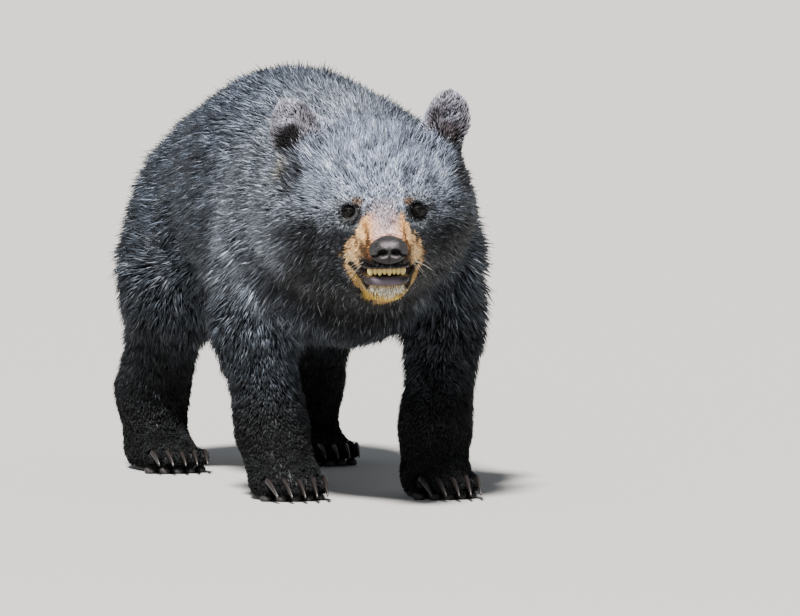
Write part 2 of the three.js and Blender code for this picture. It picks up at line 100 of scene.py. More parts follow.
# ---- Skin: one hide over the whole animal, dark under the hair and bare only in the mouth.
# It is modelled as clay is, from ellipsoids and round-ended limbs blended into each other,
# and lies under the outline of the coat by the coat's depth at each place.
CLAY_SHIFT = EYES - np.array((-0.058, -0.272, 0.398))  # the clay's own origin
WITHERS, BACK, RUMP, BELLY = 0.556, 0.591, 0.550, 0.194
CHEST_HALF = 0.168
ELBOW_OUT = {1: 0.143, -1: 0.129}
FORE_PAW_OUT, HIND_PAW_OUT = 0.102, 0.122
FORE_STRIDE = {1: -0.012, -1: 0.024}
HIND_STRIDE = {1: 0.612, -1: 0.552}
FORE_TOE_REACH, HIND_TOE_REACH = 0.050, 0.076
TOE_SPACING, TOE_ARC = 0.0185, 0.0032
SKULL_MIDDLE = (0, 0.08, -0.01)
EYE_HALF_SPACING = 0.044
EYE_RADIUS = 0.0105
MOUTH_CORNER = (0, -0.036, -0.0645)
MOUTH_ACROSS = -0.0015  # middle of the mouth, a little to the bear's right of its nose
UPPER_LIP_RISE = math.radians(12.3)
LOWER_LIP_DROP = math.radians(4.4)
NOSE_AT = np.array((0, -0.088, -0.028))
NOSE_SIZE = np.array((0.0275, 0.015, 0.0185))
SOLE_CLEARANCE = 0.002


def ellipsoid(centre, radii):
    centre, radii = np.array(centre), np.array(radii)

    def mass(p):
        unit = (p - centre) / radii
        near = np.sqrt(np.einsum("ij,ij->i", unit, unit))
        unit /= radii
        slope = np.sqrt(np.einsum("ij,ij->i", unit, unit))
        return near * (near - 1) / np.maximum(slope, 1e-9)

    return mass


def away_from(p, a, b):
    """Distance from each point to the stretch from a to b, and how far along it that is."""
    a, b = np.array(a), np.array(b)
    along = np.clip((p - a) @ (b - a) / ((b - a) @ (b - a)), 0, 1)
    gap = p - a - along[:, None] * (b - a)
    return np.sqrt(np.einsum("ij,ij->i", gap, gap)), along


def limb(a, radius_a, b, radius_b):
    def mass(p):
        away, along = away_from(p, a, b)
        return away - radius_a - along * (radius_b - radius_a)

    return mass


def soft_min(a, b, soft):
    overlap = np.maximum(soft - np.abs(a - b), 0) / soft
    return np.minimum(a, b) - overlap * overlap * soft / 4


def blended(soft, *masses):
    def mass(p):
        total = masses[0](p)
        for other in masses[1:]:
            total = soft_min(total, other(p), soft)
        return total

    return mass


def mirrored(mass):
    return lambda p: mass(np.column_stack((np.abs(p[:, 0]), p[:, 1:])))


def turned(pitch, roll, yaw):
    pitch, roll, yaw = (math.radians(a) for a in (pitch, roll, yaw))
    return np.array(Matrix.Rotation(yaw, 3, "Z") @ Matrix.Rotation(pitch, 3, "X")
                    @ Matrix.Rotation(roll, 3, "Y"))


def ramp(value, start, end):
    """0 at start, 1 at end, smooth between."""
    share = np.clip((value - start) / (end - start), 0, 1)
    return share * share * (3 - 2 * share)


def mixed(a, b, share):
    share = np.asarray(share)
    return a + (b - a) * (share[:, None] if np.ndim(b) > 1 or np.ndim(a) > 1 else share)


HEAD_AXES = turned(14, -1.5, -13.5)


def in_head(points):
    """Row frame to head frame: origin between the eyes, -Y towards the nose, +X its left."""
    return (points - EYES) @ HEAD_AXES


def from_head(points):
    return np.asarray(points) @ HEAD_AXES.T + EYES


EARS = (((0.088, 0.104, 0.056), turned(-12, 17, 28)),  # the left one's root and axes
        ((-0.101, 0.108, 0.051), turned(-14, -25, -36)))
EAR_HALF, EAR_THICK, EAR_HEIGHT = 0.035, 0.015, 0.076


def in_ear(head_points, ear):
    """Head frame to ear frame: +Z up along the ear, its hollow side towards -Y."""
    at, axes = ear
    return (head_points - np.array(at)) @ axes


ear_outside = blended(
    0.014,
    ellipsoid((0, 0, EAR_HEIGHT * 0.42), (EAR_HALF, EAR_THICK, EAR_HEIGHT * 0.58)),
    limb((0, 0.006, -0.014), 0.033, (0, 0.004, 0.008), 0.026),
)
ear_hollow = ellipsoid((0, -0.023, EAR_HEIGHT * 0.42), (EAR_HALF * 0.66, 0.018, EAR_HEIGHT * 0.42))


def ear_mass(p):
    return -soft_min(-ear_outside(p), ear_hollow(p), 0.006)


def mid_height(top):
    return (top + BELLY) / 2


trunk_mass = blended(
    0.060,
    ellipsoid((-0.006, 0.095, mid_height(WITHERS)), (CHEST_HALF - 0.026, 0.175, 0.177)),
    ellipsoid((0, 0.320, mid_height(BACK)), (CHEST_HALF - 0.006, 0.300, 0.1905)),
    ellipsoid((0, 0.548, mid_height(RUMP) - 0.008), (CHEST_HALF - 0.022, 0.165, 0.168)),
    ellipsoid((0, 0.010, 0.330), (0.105, 0.095, 0.112)),
    mirrored(limb((0.052, 0.590, 0.385), 0.084, (0.116, 0.556, 0.296), 0.074)),
)


def toes(centre, front, height):
    """Five toes in an arc in front of a paw, each an egg 24 mm wide."""
    eggs = [ellipsoid((centre + k * TOE_SPACING, front + TOE_ARC * k * k, height),
                      (0.012, 0.022, 0.015)) for k in range(-2, 3)]
    return blended(0.005, *eggs)


def fore_leg(side):
    paw, stride = side * FORE_PAW_OUT, FORE_STRIDE[side]
    shoulder = (side * (ELBOW_OUT[side] - 0.052), 0.060, 0.426)
    upper_arm = (side * (ELBOW_OUT[side] - 0.006), 0.078, 0.330)
    elbow = side * ELBOW_OUT[side]
    wrist = (side * (FORE_PAW_OUT + 0.008), stride + 0.034, 0.092)
    return blended(
        0.034,
        limb(shoulder, 0.066, upper_arm, 0.063),
        limb(upper_arm, 0.064, (elbow, 0.084, 0.235), 0.062),
        limb((elbow, 0.082, 0.235), 0.060, wrist, 0.046),
        limb(wrist, 0.044, (paw, stride + 0.016, 0.044), 0.041),
        ellipsoid((paw, stride - 0.006, 0.022), (0.047, 0.058, 0.031)),
    )


def hind_leg(side):
    paw, stride = side * HIND_PAW_OUT, HIND_STRIDE[side]
    hock = (side * (HIND_PAW_OUT + 0.003), stride + 0.050, 0.112)
    return blended(
        0.040,
        limb((side * 0.070, 0.580, 0.370), 0.084, (side * 0.122, stride - 0.046, 0.268), 0.077),
        limb((side * 0.122, stride - 0.046, 0.254), 0.070, hock, 0.048),
        limb(hock, 0.046, (paw, stride + 0.044, 0.044), 0.042),
        ellipsoid((paw, stride - 0.004, 0.024), (0.046, 0.084, 0.032)),
    )


neck_mass = blended(
    0.060,
    limb((-0.008, 0.030, 0.416), 0.128, (-0.046, -0.150, 0.410), 0.110),
    limb((-0.010, -0.010, 0.330), 0.098, (-0.050, -0.170, 0.340), 0.076),
    limb((-0.062, 0.040, 0.380), 0.104, (-0.088, -0.100, 0.372), 0.084),
)
tail_mass = limb((0, 0.692, 0.440), 0.030, (0, 0.742, 0.342), 0.020)
body_mass = blended(0.042, trunk_mass, fore_leg(1), fore_leg(-1), hind_leg(1), hind_leg(-1))
headless = blended(0.044, blended(0.018, body_mass, tail_mass), neck_mass)
all_toes = blended(
    0.001,
    *(toes(side * FORE_PAW_OUT, FORE_STRIDE[side] - FORE_TOE_REACH, 0.021) for side in (1, -1)),
    *(toes(side * HIND_PAW_OUT, HIND_STRIDE[side] - HIND_TOE_REACH, 0.022) for side in (1, -1)),
)

cranium = mirrored(blended(
    0.026,
    ellipsoid((0, 0.092, -0.002), (0.094, 0.098, 0.080)),
    ellipsoid((0.068, 0.086, -0.020), (0.055, 0.072, 0.066)),
    ellipsoid((0.066, 0.142, -0.042), (0.072, 0.078, 0.088)),
    ellipsoid((0.038, 0.020, 0.014), (0.026, 0.020, 0.014)),
    limb((0, 0, -0.026), 0.028, (0, -0.050, -0.028), 0.025),
    ellipsoid((0.030, 0.014, -0.038), (0.030, 0.038, 0.027)),
    ellipsoid((0, 0.034, -0.074), (0.056, 0.060, 0.042)),
))
muzzle = mirrored(blended(
    0.016,
    limb((0, -0.004, -0.026), 0.028, (0, -0.074, -0.030), 0.021),
    limb((0.025, -0.014, -0.042), 0.024, (0.014, -0.072, -0.038), 0.015),
    limb((0.009, -0.016, -0.008), 0.010, (0.008, -0.070, -0.017), 0.008),
))
jaw = mirrored(blended(
    0.018,
    limb((0.024, 0, -0.074), 0.028, (0.012, -0.056, -0.078), 0.017),
    ellipsoid((0, -0.058, -0.084), (0.023, 0.021, 0.022)),
))
NEAR_TOES = 0.07  # height under which toes count


def coat_outline(p):
    """Distance to the outline of the coat, out to the tips of the hair; negative inside."""
    clay, head = p - CLAY_SHIFT, in_head(p)
    face = soft_min(cranium(head), muzzle(head), 0.016)
    for ear in EARS:
        face = soft_min(face, ear_mass(in_ear(head, ear)), 0.014)
    total = soft_min(headless(clay), soft_min(face, jaw(head), 0.016), 0.050)
    low = clay[:, 2] < NEAR_TOES
    total[low] = soft_min(total[low], all_toes(clay[low]), 0.004)
    return total


def on_head(head):
    """1 within 15 cm of the middle of the skull and 0 from 25 cm off."""
    return ramp(np.linalg.norm(head - SKULL_MIDDLE, axis=1), 0.25, 0.15)


def on_ear(own):
    """1 on an ear, in its own frame, and 0 on the head round it."""
    beside = ramp(np.abs(own[:, 0]), 0.051, 0.038) * ramp(np.abs(own[:, 1]), 0.044, 0.030)
    return ramp(own[:, 2], -0.004, 0.022) * beside


def from_face(head):
    """Distance to the nearest of the bridge of the nose, the chin and the eyes."""
    bridge, _ = away_from(head, (0, -0.088, -0.028), (0, -0.010, -0.010))
    lower, _ = away_from(head, (0, -0.060, -0.080), (0, -0.020, -0.072))
    face = np.minimum(bridge, lower)
    for side in (-1, 1):
        eye, _ = away_from(head, (side * EYE_HALF_SPACING, 0, 0), (0, 0, 0))
        face = np.minimum(face, eye + 0.012)
    return face


def in_ear_hollow(head):
    """1 in the hollow of an ear, on its front, and 0 on its back and on the head."""
    share = np.zeros(len(head))
    for ear in EARS:
        own = in_ear(head, ear)
        share = np.maximum(share, on_ear(own) * ramp(own[:, 1], 0.000, -0.008))
    return share


def coat_depth(p):
    """How deep the coat is over each place: a few millimetres on the face, ears and feet,
    11 mm on the tail and up to 35 mm on the neck and back."""
    head = in_head(p)
    depth = 0.006 + 0.029 * ramp(p[:, 2], 0.04, 0.34)
    face_depth = 0.003 + np.clip(0.29 * (from_face(head) - 0.030), 0, 0.029)
    depth = mixed(depth, face_depth, on_head(head))
    for ear in EARS:
        depth = mixed(depth, 0.0050, on_ear(in_ear(head, ear)))
    on_tail = ramp(p[:, 1], 0.49, 0.53)
    return mixed(depth, 0.011, on_tail)


def mouth_wedge(head):
    """The opening between the lips, negative inside. The lips meet at its sides, further
    out above than below."""
    up = head[:, 2] - MOUTH_CORNER[2]
    forward = MOUTH_CORNER[1] - head[:, 1]
    upper = up * math.cos(UPPER_LIP_RISE) - forward * math.sin(UPPER_LIP_RISE)
    lower = -up * math.cos(LOWER_LIP_DROP) - forward * math.sin(LOWER_LIP_DROP)
    beside = np.abs(head[:, 0] - MOUTH_ACROSS) - 0.0300 - 0.9 * up
    return np.maximum(np.maximum(upper, lower), np.maximum(-forward, 0.74 * beside))


ear_root = limb((0, 0.006, -0.060), 0.034, (0, 0.004, 0.006), 0.013)
tail_root = limb((0, 0.630, 0.440), 0.026, (0, 0.700, 0.424), 0.016)


def skin_mass(p):
    head = in_head(p)
    skin = soft_min(coat_outline(p) + coat_depth(p), tail_root(p - CLAY_SHIFT), 0.014)
    for ear in EARS:
        skin = soft_min(skin, ear_root(in_ear(head, ear)), 0.014)
    skin = -soft_min(-skin, mouth_wedge(head), 0.004)
    for side in (-1, 1):
        away = np.linalg.norm(head - (side * EYE_HALF_SPACING, 0.001, 0), axis=1)
        skin = -soft_min(-skin, away - EYE_RADIUS - 0.0005, 0.003)
    skin = -soft_min(-skin, ellipsoid(NOSE_AT, NOSE_SIZE - 0.003)(head), 0.002)
    return -soft_min(-skin, p[:, 2] - SOLE_CLEARANCE, 0.004)


def graded(low, high, fine_low, fine_high, fine, coarse):
    """Grid lines from low to high, close together from fine_low to fine_high."""
    before = np.arange(fine_low, low - coarse, -coarse)[:0:-1]
    after = np.arange(fine_high, high + coarse, coarse)[1:]
    inside = np.linspace(fine_low, fine_high, round((fine_high - fine_low) / fine) + 1)
    return np.concatenate((before, inside, after))


def grid_points(axes, where):
    return np.column_stack([axis[index] for axis, index in zip(axes, where)])


def field_on(mass, axes, block=4):
    """The mass at each crossing of the grid lines. Away from the surface, where only the
    sign matters, a whole block takes the value of its corner."""
    marks = [np.minimum(np.arange(0, len(a) + block - 1, block), len(a) - 1) for a in axes]
    corner = np.indices([len(m) for m in marks]).reshape(3, -1)
    coarse = mass(grid_points([a[m] for a, m in zip(axes, marks)], corner))
    coarse = coarse.reshape([len(m) for m in marks])
    steps = [np.diff(a[m]) for a, m in zip(axes, marks)]
    diagonal = np.sqrt(sum(s.reshape([-1 if k == i else 1 for k in range(3)]) ** 2
                           for i, s in enumerate(steps)))
    ends = (slice(0, -1), slice(1, None))
    nearest = np.min([np.abs(coarse[tuple(ends[b] for b in bits)])
                      for bits in product((0, 1), repeat=3)], axis=0)
    wanted = nearest < 0.75 * diagonal
    value = coarse
    for axis, lines in enumerate(axes):
        here = np.arange(len(lines))
        last = wanted.shape[axis] - 1
        starts = np.take(wanted, np.minimum(here // block, last), axis)
        wanted = starts | np.take(wanted, np.maximum(here - 1, 0) // block, axis)
        value = np.take(value, here // block, axis)
    where = np.nonzero(wanted)
    value = value.copy()
    value[where] = mass(grid_points(axes, where))
    return value


def unpinched(value):
    """Takes in a third corner of each grid square that is inside at two opposite corners
    only, so that no two folds of the surface share an edge, and turns over each corner that
    differs from all its neighbours, so that no crumb is left loose."""
    for pair in ((0, 1), (1, 2), (2, 0)) * 3:
        field = np.moveaxis(value, pair, (0, 1))
        inside = field < 0
        a, b, c, d = inside[:-1, :-1], inside[1:, :-1], inside[1:, 1:], inside[:-1, 1:]
        field[1:, :-1][a & c & ~b & ~d] *= -0.3
        field[:-1, :-1][b & d & ~a & ~c] *= -0.3
    inside = value < 0
    alone = np.full(inside.shape, True)
    for axis, step in product(range(3), (-1, 1)):
        alone &= np.roll(inside, step, axis) != inside
    value[alone] *= -0.3
    return value


def net_points(value, axes, cells):
    """For each cell, the middle of the places where the surface crosses its edges."""
    total, count = np.zeros((len(cells), 3)), np.zeros(len(cells))
    for axis, u, v in product(range(3), (0, 1), (0, 1)):
        start = cells.copy()
        start[:, (axis + 1) % 3] += u
        start[:, (axis + 2) % 3] += v
        end = start.copy()
        end[:, axis] += 1
        a, b = value[tuple(start.T)], value[tuple(end.T)]
        crossed = (a < 0) != (b < 0)
        share = np.where(crossed, a / np.where(crossed, a - b, 1), 0)
        place = mixed(grid_points(axes, start.T), grid_points(axes, end.T), share)
        total += np.where(crossed[:, None], place, 0)
        count += crossed
    return total / count[:, None]


def net_faces(inside, number):
    """One face round each grid edge that the surface crosses, between the points of the four
    cells that share the edge, turned outwards."""
    faces = []
    for axis, length in enumerate(inside.shape):
        lower = np.take(inside, range(length - 1), axis)
        upper = np.take(inside, range(1, length), axis)
        edge = np.argwhere(lower != upper)
        ring = []
        for u, v in ((1, 1), (0, 1), (0, 0), (1, 0)):
            cell = edge.copy()
            cell[:, (axis + 1) % 3] -= u
            cell[:, (axis + 2) % 3] -= v
            ring.append(number[tuple(cell.T)])
        quads = np.column_stack(ring)
        faces_up = lower[tuple(edge.T)]
        faces.append(np.where(faces_up[:, None], quads, quads[:, ::-1]))
    return np.concatenate(faces)


def surface_net(mass, axes):
    """The points and faces of the surface on which the mass is 0, one point to a cell."""
    value = unpinched(field_on(mass, axes))
    inside = value < 0
    corners = [inside[tuple(slice(b, n - 1 + b) for b, n in zip(bits, inside.shape))]
               for bits in product((0, 1), repeat=3)]
    active = np.logical_or.reduce(corners) & ~np.logical_and.reduce(corners)
    cells = np.argwhere(active)
    number = np.full(active.shape, -1)
    number[active] = np.arange(len(cells))
    return settled(mass, net_points(value, axes, cells)), net_faces(inside, number)


def slope_of(mass, points, step=0.0004):
    slope = np.empty_like(points)
    for axis in range(3):
        shift = np.zeros(3)
        shift[axis] = step
        slope[:, axis] = (mass(points + shift) - mass(points - shift)) / (2 * step)
    return slope


def settled(mass, points, turns=2, reach=0.002):
    for _ in range(turns):
        slope = slope_of(mass, points)
        steep = np.maximum(np.einsum("ij,ij->i", slope, slope), 0.05)
        move = -(mass(points) / steep)[:, None] * slope
        length = np.linalg.norm(move, axis=1, keepdims=True)
        points = points + move * np.minimum(1, reach / np.maximum(length, 1e-9))
    return points


def mesh_object(name, points, faces):
    """A mesh of points and of faces, given in groups with the same number of corners."""
    groups = faces if isinstance(faces, list) else [faces]
    corners = np.concatenate([group.ravel() for group in groups]).astype(np.int32)
    sizes = np.concatenate([np.full(len(group), group.shape[1]) for group in groups])
    mesh = bpy.data.meshes.new(name)
    mesh.vertices.add(len(points))
    mesh.vertices.foreach_set("co", np.asarray(points, np.float32).ravel())
    mesh.loops.add(len(corners))
    mesh.loops.foreach_set("vertex_index", corners)
    mesh.polygons.add(len(sizes))
    mesh.polygons.foreach_set("loop_start", (np.cumsum(sizes) - sizes).astype(np.int32))
    mesh.polygons.foreach_set("use_smooth", np.ones(len(sizes), bool))
    mesh.update(calc_edges=True)
    made = bpy.data.objects.new(name, mesh)
    bpy.context.scene.collection.objects.link(made)
    return made


def unit(vectors):
    return vectors / np.maximum(np.linalg.norm(vectors, axis=-1, keepdims=True), 1e-12)


FINE_CELL, COARSE_CELL = 0.0021, 0.0085  # the fine one over the face
SKIN_GRID = (
    graded(cad_box[0][0] - 0.01, cad_box[1][0] + 0.01, -0.145, 0.035, FINE_CELL, COARSE_CELL),
    graded(cad_box[0][1] - 0.01, cad_box[1][1] + 0.01, -0.580, -0.445, FINE_CELL, COARSE_CELL),
    graded(-0.012, cad_box[1][2] + 0.01, 0.295, 0.425, FINE_CELL, COARSE_CELL),
)
skin_points, skin_faces = surface_net(skin_mass, SKIN_GRID)


def linear(code):
    """An sRGB hex value as linear red, green and blue."""
    parts = np.array([int(code[k:k + 2], 16) for k in (0, 2, 4)]) / 255
    return np.where(parts <= 0.04045, parts / 12.92, ((parts + 0.055) / 1.055) ** 2.4)


def wobble(points, size, seed, waves=7):
    """A smooth random field between about -1 and 1, its swells about `size` across."""
    random = np.random.default_rng(seed)
    total = np.zeros(len(points))
    for _ in range(waves):
        way = unit(random.normal(size=3)) * 2 * math.pi / size * random.uniform(0.6, 1.5)
        total += np.sin(points @ way + random.uniform(0, 2 * math.pi))
    return total / math.sqrt(waves)


# Colours of the hair's tips and roots. The roots are black apart from the face's.
BLACK_ROOT = linear("080809")
# Painted light on the hair tips: the grey-blue back, shoulder and crown colours are painted sheen,
# the near-black under and cheek colours are painted shade.
SHADED_UNDER_TIP, SIDE_TIP, SHEEN_BACK_TIP = linear("161718"), linear("3e444d"), linear("525966")
LIT_SHOULDER_TIP, SHEEN_CROWN_TIP, GLINT_TIP = linear("888f9c"), linear("7b8395"), linear("9ca0a9")
BROWN_TIP = linear("372d27")
SHADED_CHEEK_TIP = linear("08090a")
TAN_ROOT, TAN_TIP, LIT_TAN_TIP = linear("eeb474"), linear("ffc078"), linear("ffe4b4")
RUST_AND_SHADE_TIP, BRIDGE_ROOT, BRIDGE_TIP = linear("32170e"), linear("896668"), linear("e9c9cd")
CHIN_ROOT, CHIN_TIP, CHIN_EDGE = linear("b8ae9c"), linear("fff6e4"), linear("f2c65a")
EDGE_ROOT, JAW_SIDE_TIP = linear("a5843c"), linear("9a8450")
BROW_TIP, RING_TIP = linear("6c523c"), linear("75797f")
LIP_CORNER_SHADE_TIP, BARE_DARK = linear("22170f"), linear("060404")
SHEEN_EAR_TIP, EAR_INNER_TIP, EAR_SHADE_TIP = linear("918f9c"), linear("50474b"), linear("0f0c0d")
EAR_TUFT_TIP = linear("9f9786")
LINING = linear("180d0f")
# Heights in the head's frame, and half the width of the tan muzzle at each.
MUZZLE_HALF = ((-0.118, 0.008), (-0.104, 0.018), (-0.090, 0.031), (-0.066, 0.041),
               (-0.045, 0.042), (-0.030, 0.035), (-0.015, 0.028), (-0.004, 0.023), (0.006, 0.015))


def spot_at(places, centre, radii):
    """1 in the middle of a soft oval spot, 0 outside it."""
    off = np.linalg.norm((places - np.array(centre)) / np.array(radii), axis=1)
    return ramp(off, 1.25, 0.6)


def black_tips(points, head):
    """The tips of the black hair, with light and shade painted on: dark below with painted shade,
    blue-grey on the back and paler on the forehead and right shoulder with painted sheen, and nearly
    black with painted shade beside the muzzle and under the throat."""
    # Painted light: the tips lighten with height, and most on the lit front of the right shoulder.
    lit = ramp(points[:, 1], 0.08, -0.12) * ramp(points[:, 0], 0.08, -0.04)
    height = points[:, 2] + 0.03 * wobble(points, 0.20, 4) + 0.05 * lit
    tip = mixed(np.broadcast_to(SHADED_UNDER_TIP, points.shape), SIDE_TIP, ramp(height, 0.10, 0.36))
    tip = mixed(tip, SHEEN_BACK_TIP, ramp(height, 0.31, 0.50))
    tip = mixed(tip, LIT_SHOULDER_TIP, 0.9 * lit * ramp(height, 0.27, 0.40))
    tip = mixed(tip, BROWN_TIP, 0.4 * ramp(wobble(points, 0.10, 5), 0.9, 1.9))
    across, low = np.abs(head[:, 0]), ramp(head[:, 2], 0.015, -0.030)
    # Painted shade on the lower cheeks beside the muzzle and under the throat.
    cheek_shade = ramp(across, 0.122, 0.090) * low * ramp(head[:, 1], 0.17, 0.11)
    throat = ramp(head[:, 2], -0.080, -0.115) * ramp(across, 0.16, 0.10)
    throat *= ramp(head[:, 1], 0.24, 0.16)
    tip = mixed(tip, SHADED_CHEEK_TIP, 0.92 * cheek_shade)
    tip = mixed(tip, SHADED_UNDER_TIP, throat)
    # Painted sheen on the forehead.
    crown = ramp(np.linalg.norm(head - (0, 0.050, 0.075), axis=1), 0.14, 0.05)
    return mixed(tip, SHEEN_CROWN_TIP, crown * ramp(head[:, 2], -0.010, 0.020))


def dyed(hair, share, new_tip, new_root=None, root_share=1.0):
    """A pair of root and tip colours, taken part of the way to new ones."""
    root, tip = hair
    if new_root is not None:
        root = mixed(root, new_root, root_share * share)
    return root, mixed(tip, new_tip, share)


def on_front(y):
    """1 over the face and 0 behind the eyes."""
    return ramp(y, 0.036, 0.016)


def muzzle_tan(x, y, z, rough):
    """Where the muzzle and jaw are tan: as wide as a muzzle, fading out between the eyes."""
    heights, halves = np.array(MUZZLE_HALF).T
    sides = ramp(x + rough - np.interp(z, heights, halves), 0.003, -0.003) * on_front(y)
    top = ramp(z + 2 * rough + 0.5 * np.maximum(0, 0.020 - x), 0.006, -0.012)
    return sides * (top * ramp(z, -0.122, -0.112))


def muzzle_hair(hair, across, y, z, tan):
    """Tan, palest on the lips along the muzzle's sides with a painted highlight, rust-brown beside
    the bridge and round the nose, partly its own colour and partly painted shade, duller on the jaw,
    with a pink-grey bridge."""
    hair = dyed(hair, tan, TAN_TIP, TAN_ROOT)
    # Painted highlight on the side planes of the muzzle.
    pale = ramp(np.abs(across - 0.035), 0.014, 0.004) * ramp(z, -0.075, -0.060)
    hair = dyed(hair, tan * 0.85 * pale, LIT_TAN_TIP)
    # Rust brown beside the bridge and round the nose: partly the hair's colour, partly painted shade
    # in the folds there.
    beside_bridge = ramp(np.abs(across - 0.0205), 0.0050, 0.0010) * ramp(z, 0.000, -0.016)
    beside_bridge *= ramp(z, -0.036, -0.028)
    round_nose = ramp(np.hypot(across, 1.35 * (z + 0.028)), 0.0355, 0.0290) * ramp(z, -0.018, -0.030)
    rust_and_shade = 0.93 * (tan * np.maximum(beside_bridge, round_nose))
    hair = dyed(hair, rust_and_shade, RUST_AND_SHADE_TIP, RUST_AND_SHADE_TIP)
    hair = dyed(hair, tan * ramp(z, -0.061, -0.073), JAW_SIDE_TIP, JAW_SIDE_TIP, 0.8)
    bridge = on_front(y) * ramp(across, 0.020, 0.010) * ramp(z, -0.048, -0.040)
    bridge *= ramp(z, 0.020, -0.016)
    return dyed(hair, bridge, BRIDGE_TIP, BRIDGE_ROOT, 0.8 * tan)


def mouth_hair(hair, x, y, z):
    """A white chin with a yellow edge, and black under the nose and at the corners of the mouth: dark
    lips with painted shadow over them.
    """
    low_front = ramp(y, -0.030, -0.045)
    chin = low_front * ramp(z, -0.074, -0.080) * ramp(x, 0.030, 0.020)
    hair = dyed(hair, chin, CHIN_TIP, CHIN_ROOT)
    edge = ramp(y, 0.012, -0.012) * ramp(z - 0.30 * x, -0.084, -0.096) * ramp(x, 0.029, 0.019)
    hair = dyed(hair, edge, CHIN_EDGE, EDGE_ROOT)
    # Painted shadow of the nose, over the dark upper lip.
    shadow_under_nose = low_front * ramp(x, 0.035, 0.026) * ramp(np.abs(z + 0.051), 0.0125, 0.0090)
    hair = dyed(hair, shadow_under_nose, BARE_DARK, BARE_DARK)
    # Painted shade in the corners of the mouth, over the dark lip edge.
    flat = np.column_stack((x, 0 * x, z))
    to_corner, _ = away_from(flat, (0.0358, 0, -0.058), (0.0238, 0, -0.078))
    corner = ramp(to_corner, 0.0058, 0.0034) * ramp(y, -0.010, -0.025)
    return dyed(hair, corner, LIP_CORNER_SHADE_TIP, LIP_CORNER_SHADE_TIP)


def eye_hair(hair, head, tan):
    """Round each eye a dark rim with a tear corner, outside it a grey ring, and a brown spot
    on the brow."""
    front = on_front(head[:, 1])
    flat = np.column_stack((np.abs(head[:, 0]), head[:, 2]))
    away = np.linalg.norm(flat - (EYE_HALF_SPACING, 0), axis=1)
    ring = ramp(np.abs(away - 0.0155), 0.0045, 0.0015) * front * ramp(tan, 0.6, 0.2)
    hair = dyed(hair, 0.65 * ring, RING_TIP)
    hair = dyed(hair, 0.9 * front * spot_at(flat, (0.0345, 0.0125), (0.0070, 0.0050)), BROW_TIP)
    rim = ramp(np.hypot(away, 0.4 * head[:, 2]), 0.0136, 0.0114)
    tear = spot_at(flat, (0.0312, -0.0020), (0.0064, 0.0078))
    return dyed(hair, front * np.maximum(rim, 0.92 * tear), BARE_DARK)


def ear_hair(hair, head):
    """Grey ears with a painted sheen on their upper parts, brown-black inside with painted shade deep
    in the hollow, each with a painted shadow below and in front of it and a pale tuft on its outer
    side."""
    beside = np.column_stack((np.abs(head[:, 0]), head[:, 1:]))
    # Painted shadow under the front of each ear.
    shadow_before_ear = spot_at(beside, (0.102, 0.070, 0.028), (0.020, 0.044, 0.032))
    hair = dyed(hair, 0.85 * shadow_before_ear, EAR_SHADE_TIP)
    tuft = spot_at(beside, (0.122, 0.095, 0.030), (0.014, 0.034, 0.020))
    hair = dyed(hair, 0.35 * tuft, EAR_TUFT_TIP)
    for ear in EARS:
        own = in_ear(head, ear)
        # Painted sheen on the upper part of each ear.
        above_corner = own[:, 2] - 1.2 * np.maximum(0, np.abs(own[:, 0]) - 0.020)
        hair = dyed(hair, 0.80 * on_ear(own) * ramp(above_corner, -0.008, 0.014), SHEEN_EAR_TIP)
        inner = in_ear_hollow(head) * ramp(own[:, 2], 0.060, 0.036)
        hair = dyed(hair, 0.6 * inner, EAR_INNER_TIP)
        # Painted shade deep in the hollow of each ear.
        deep = spot_at(own[:, [0, 2]], (0, 0.012), (0.017, 0.022)) * ramp(own[:, 1], 0.004, -0.004)
        hair = dyed(hair, deep * ramp(own[:, 1], -0.060, -0.040), EAR_SHADE_TIP)
    return hair


def markings(points):
    """Linear colours of the hair's root and of its tip at each place."""
    head = in_head(points)
    x, y, z = np.abs(head[:, 0] - MOUTH_ACROSS), head[:, 1], head[:, 2]
    rough = 0.0018 * wobble(points, 0.009, 3)
    tan = muzzle_tan(x, y, z, rough)
    hair = np.broadcast_to(BLACK_ROOT, points.shape), black_tips(points, head)
    hair = muzzle_hair(hair, x + rough, y, z, tan)
    hair = mouth_hair(hair, x, y, z)
    hair = eye_hair(hair, head, tan)
    return ear_hair(hair, head)


def paint(made, name, colours):
    """Gives each point of a mesh its own colour."""
    layer = made.data.color_attributes.new(name, "FLOAT_COLOR", "POINT")
    opaque = np.column_stack((colours, np.ones(len(colours))))
    layer.data.foreach_set("color", opaque.astype(np.float32).ravel())


def add_node(tree, kind, values=None, links=None):
    """A shader node with its properties and sockets set, and its inputs linked."""
    node = tree.nodes.new("ShaderNode" + kind)
    for name, value in (values or {}).items():
        if isinstance(name, int) or name in node.inputs:
            node.inputs[name].default_value = value
        else:
            setattr(node, name, value)
    for name, source in (links or {}).items():
        tree.links.new(source, node.inputs[name])
    return node


def start_material(name):
    material = bpy.data.materials.new(name)
    material.use_nodes = True
    material.node_tree.nodes.clear()
    return material, material.node_tree


def finish_surface(tree, values, links):
    shader = add_node(tree, "BsdfPrincipled", values, links)
    add_node(tree, "OutputMaterial", links={"Surface": shader.outputs[0]})


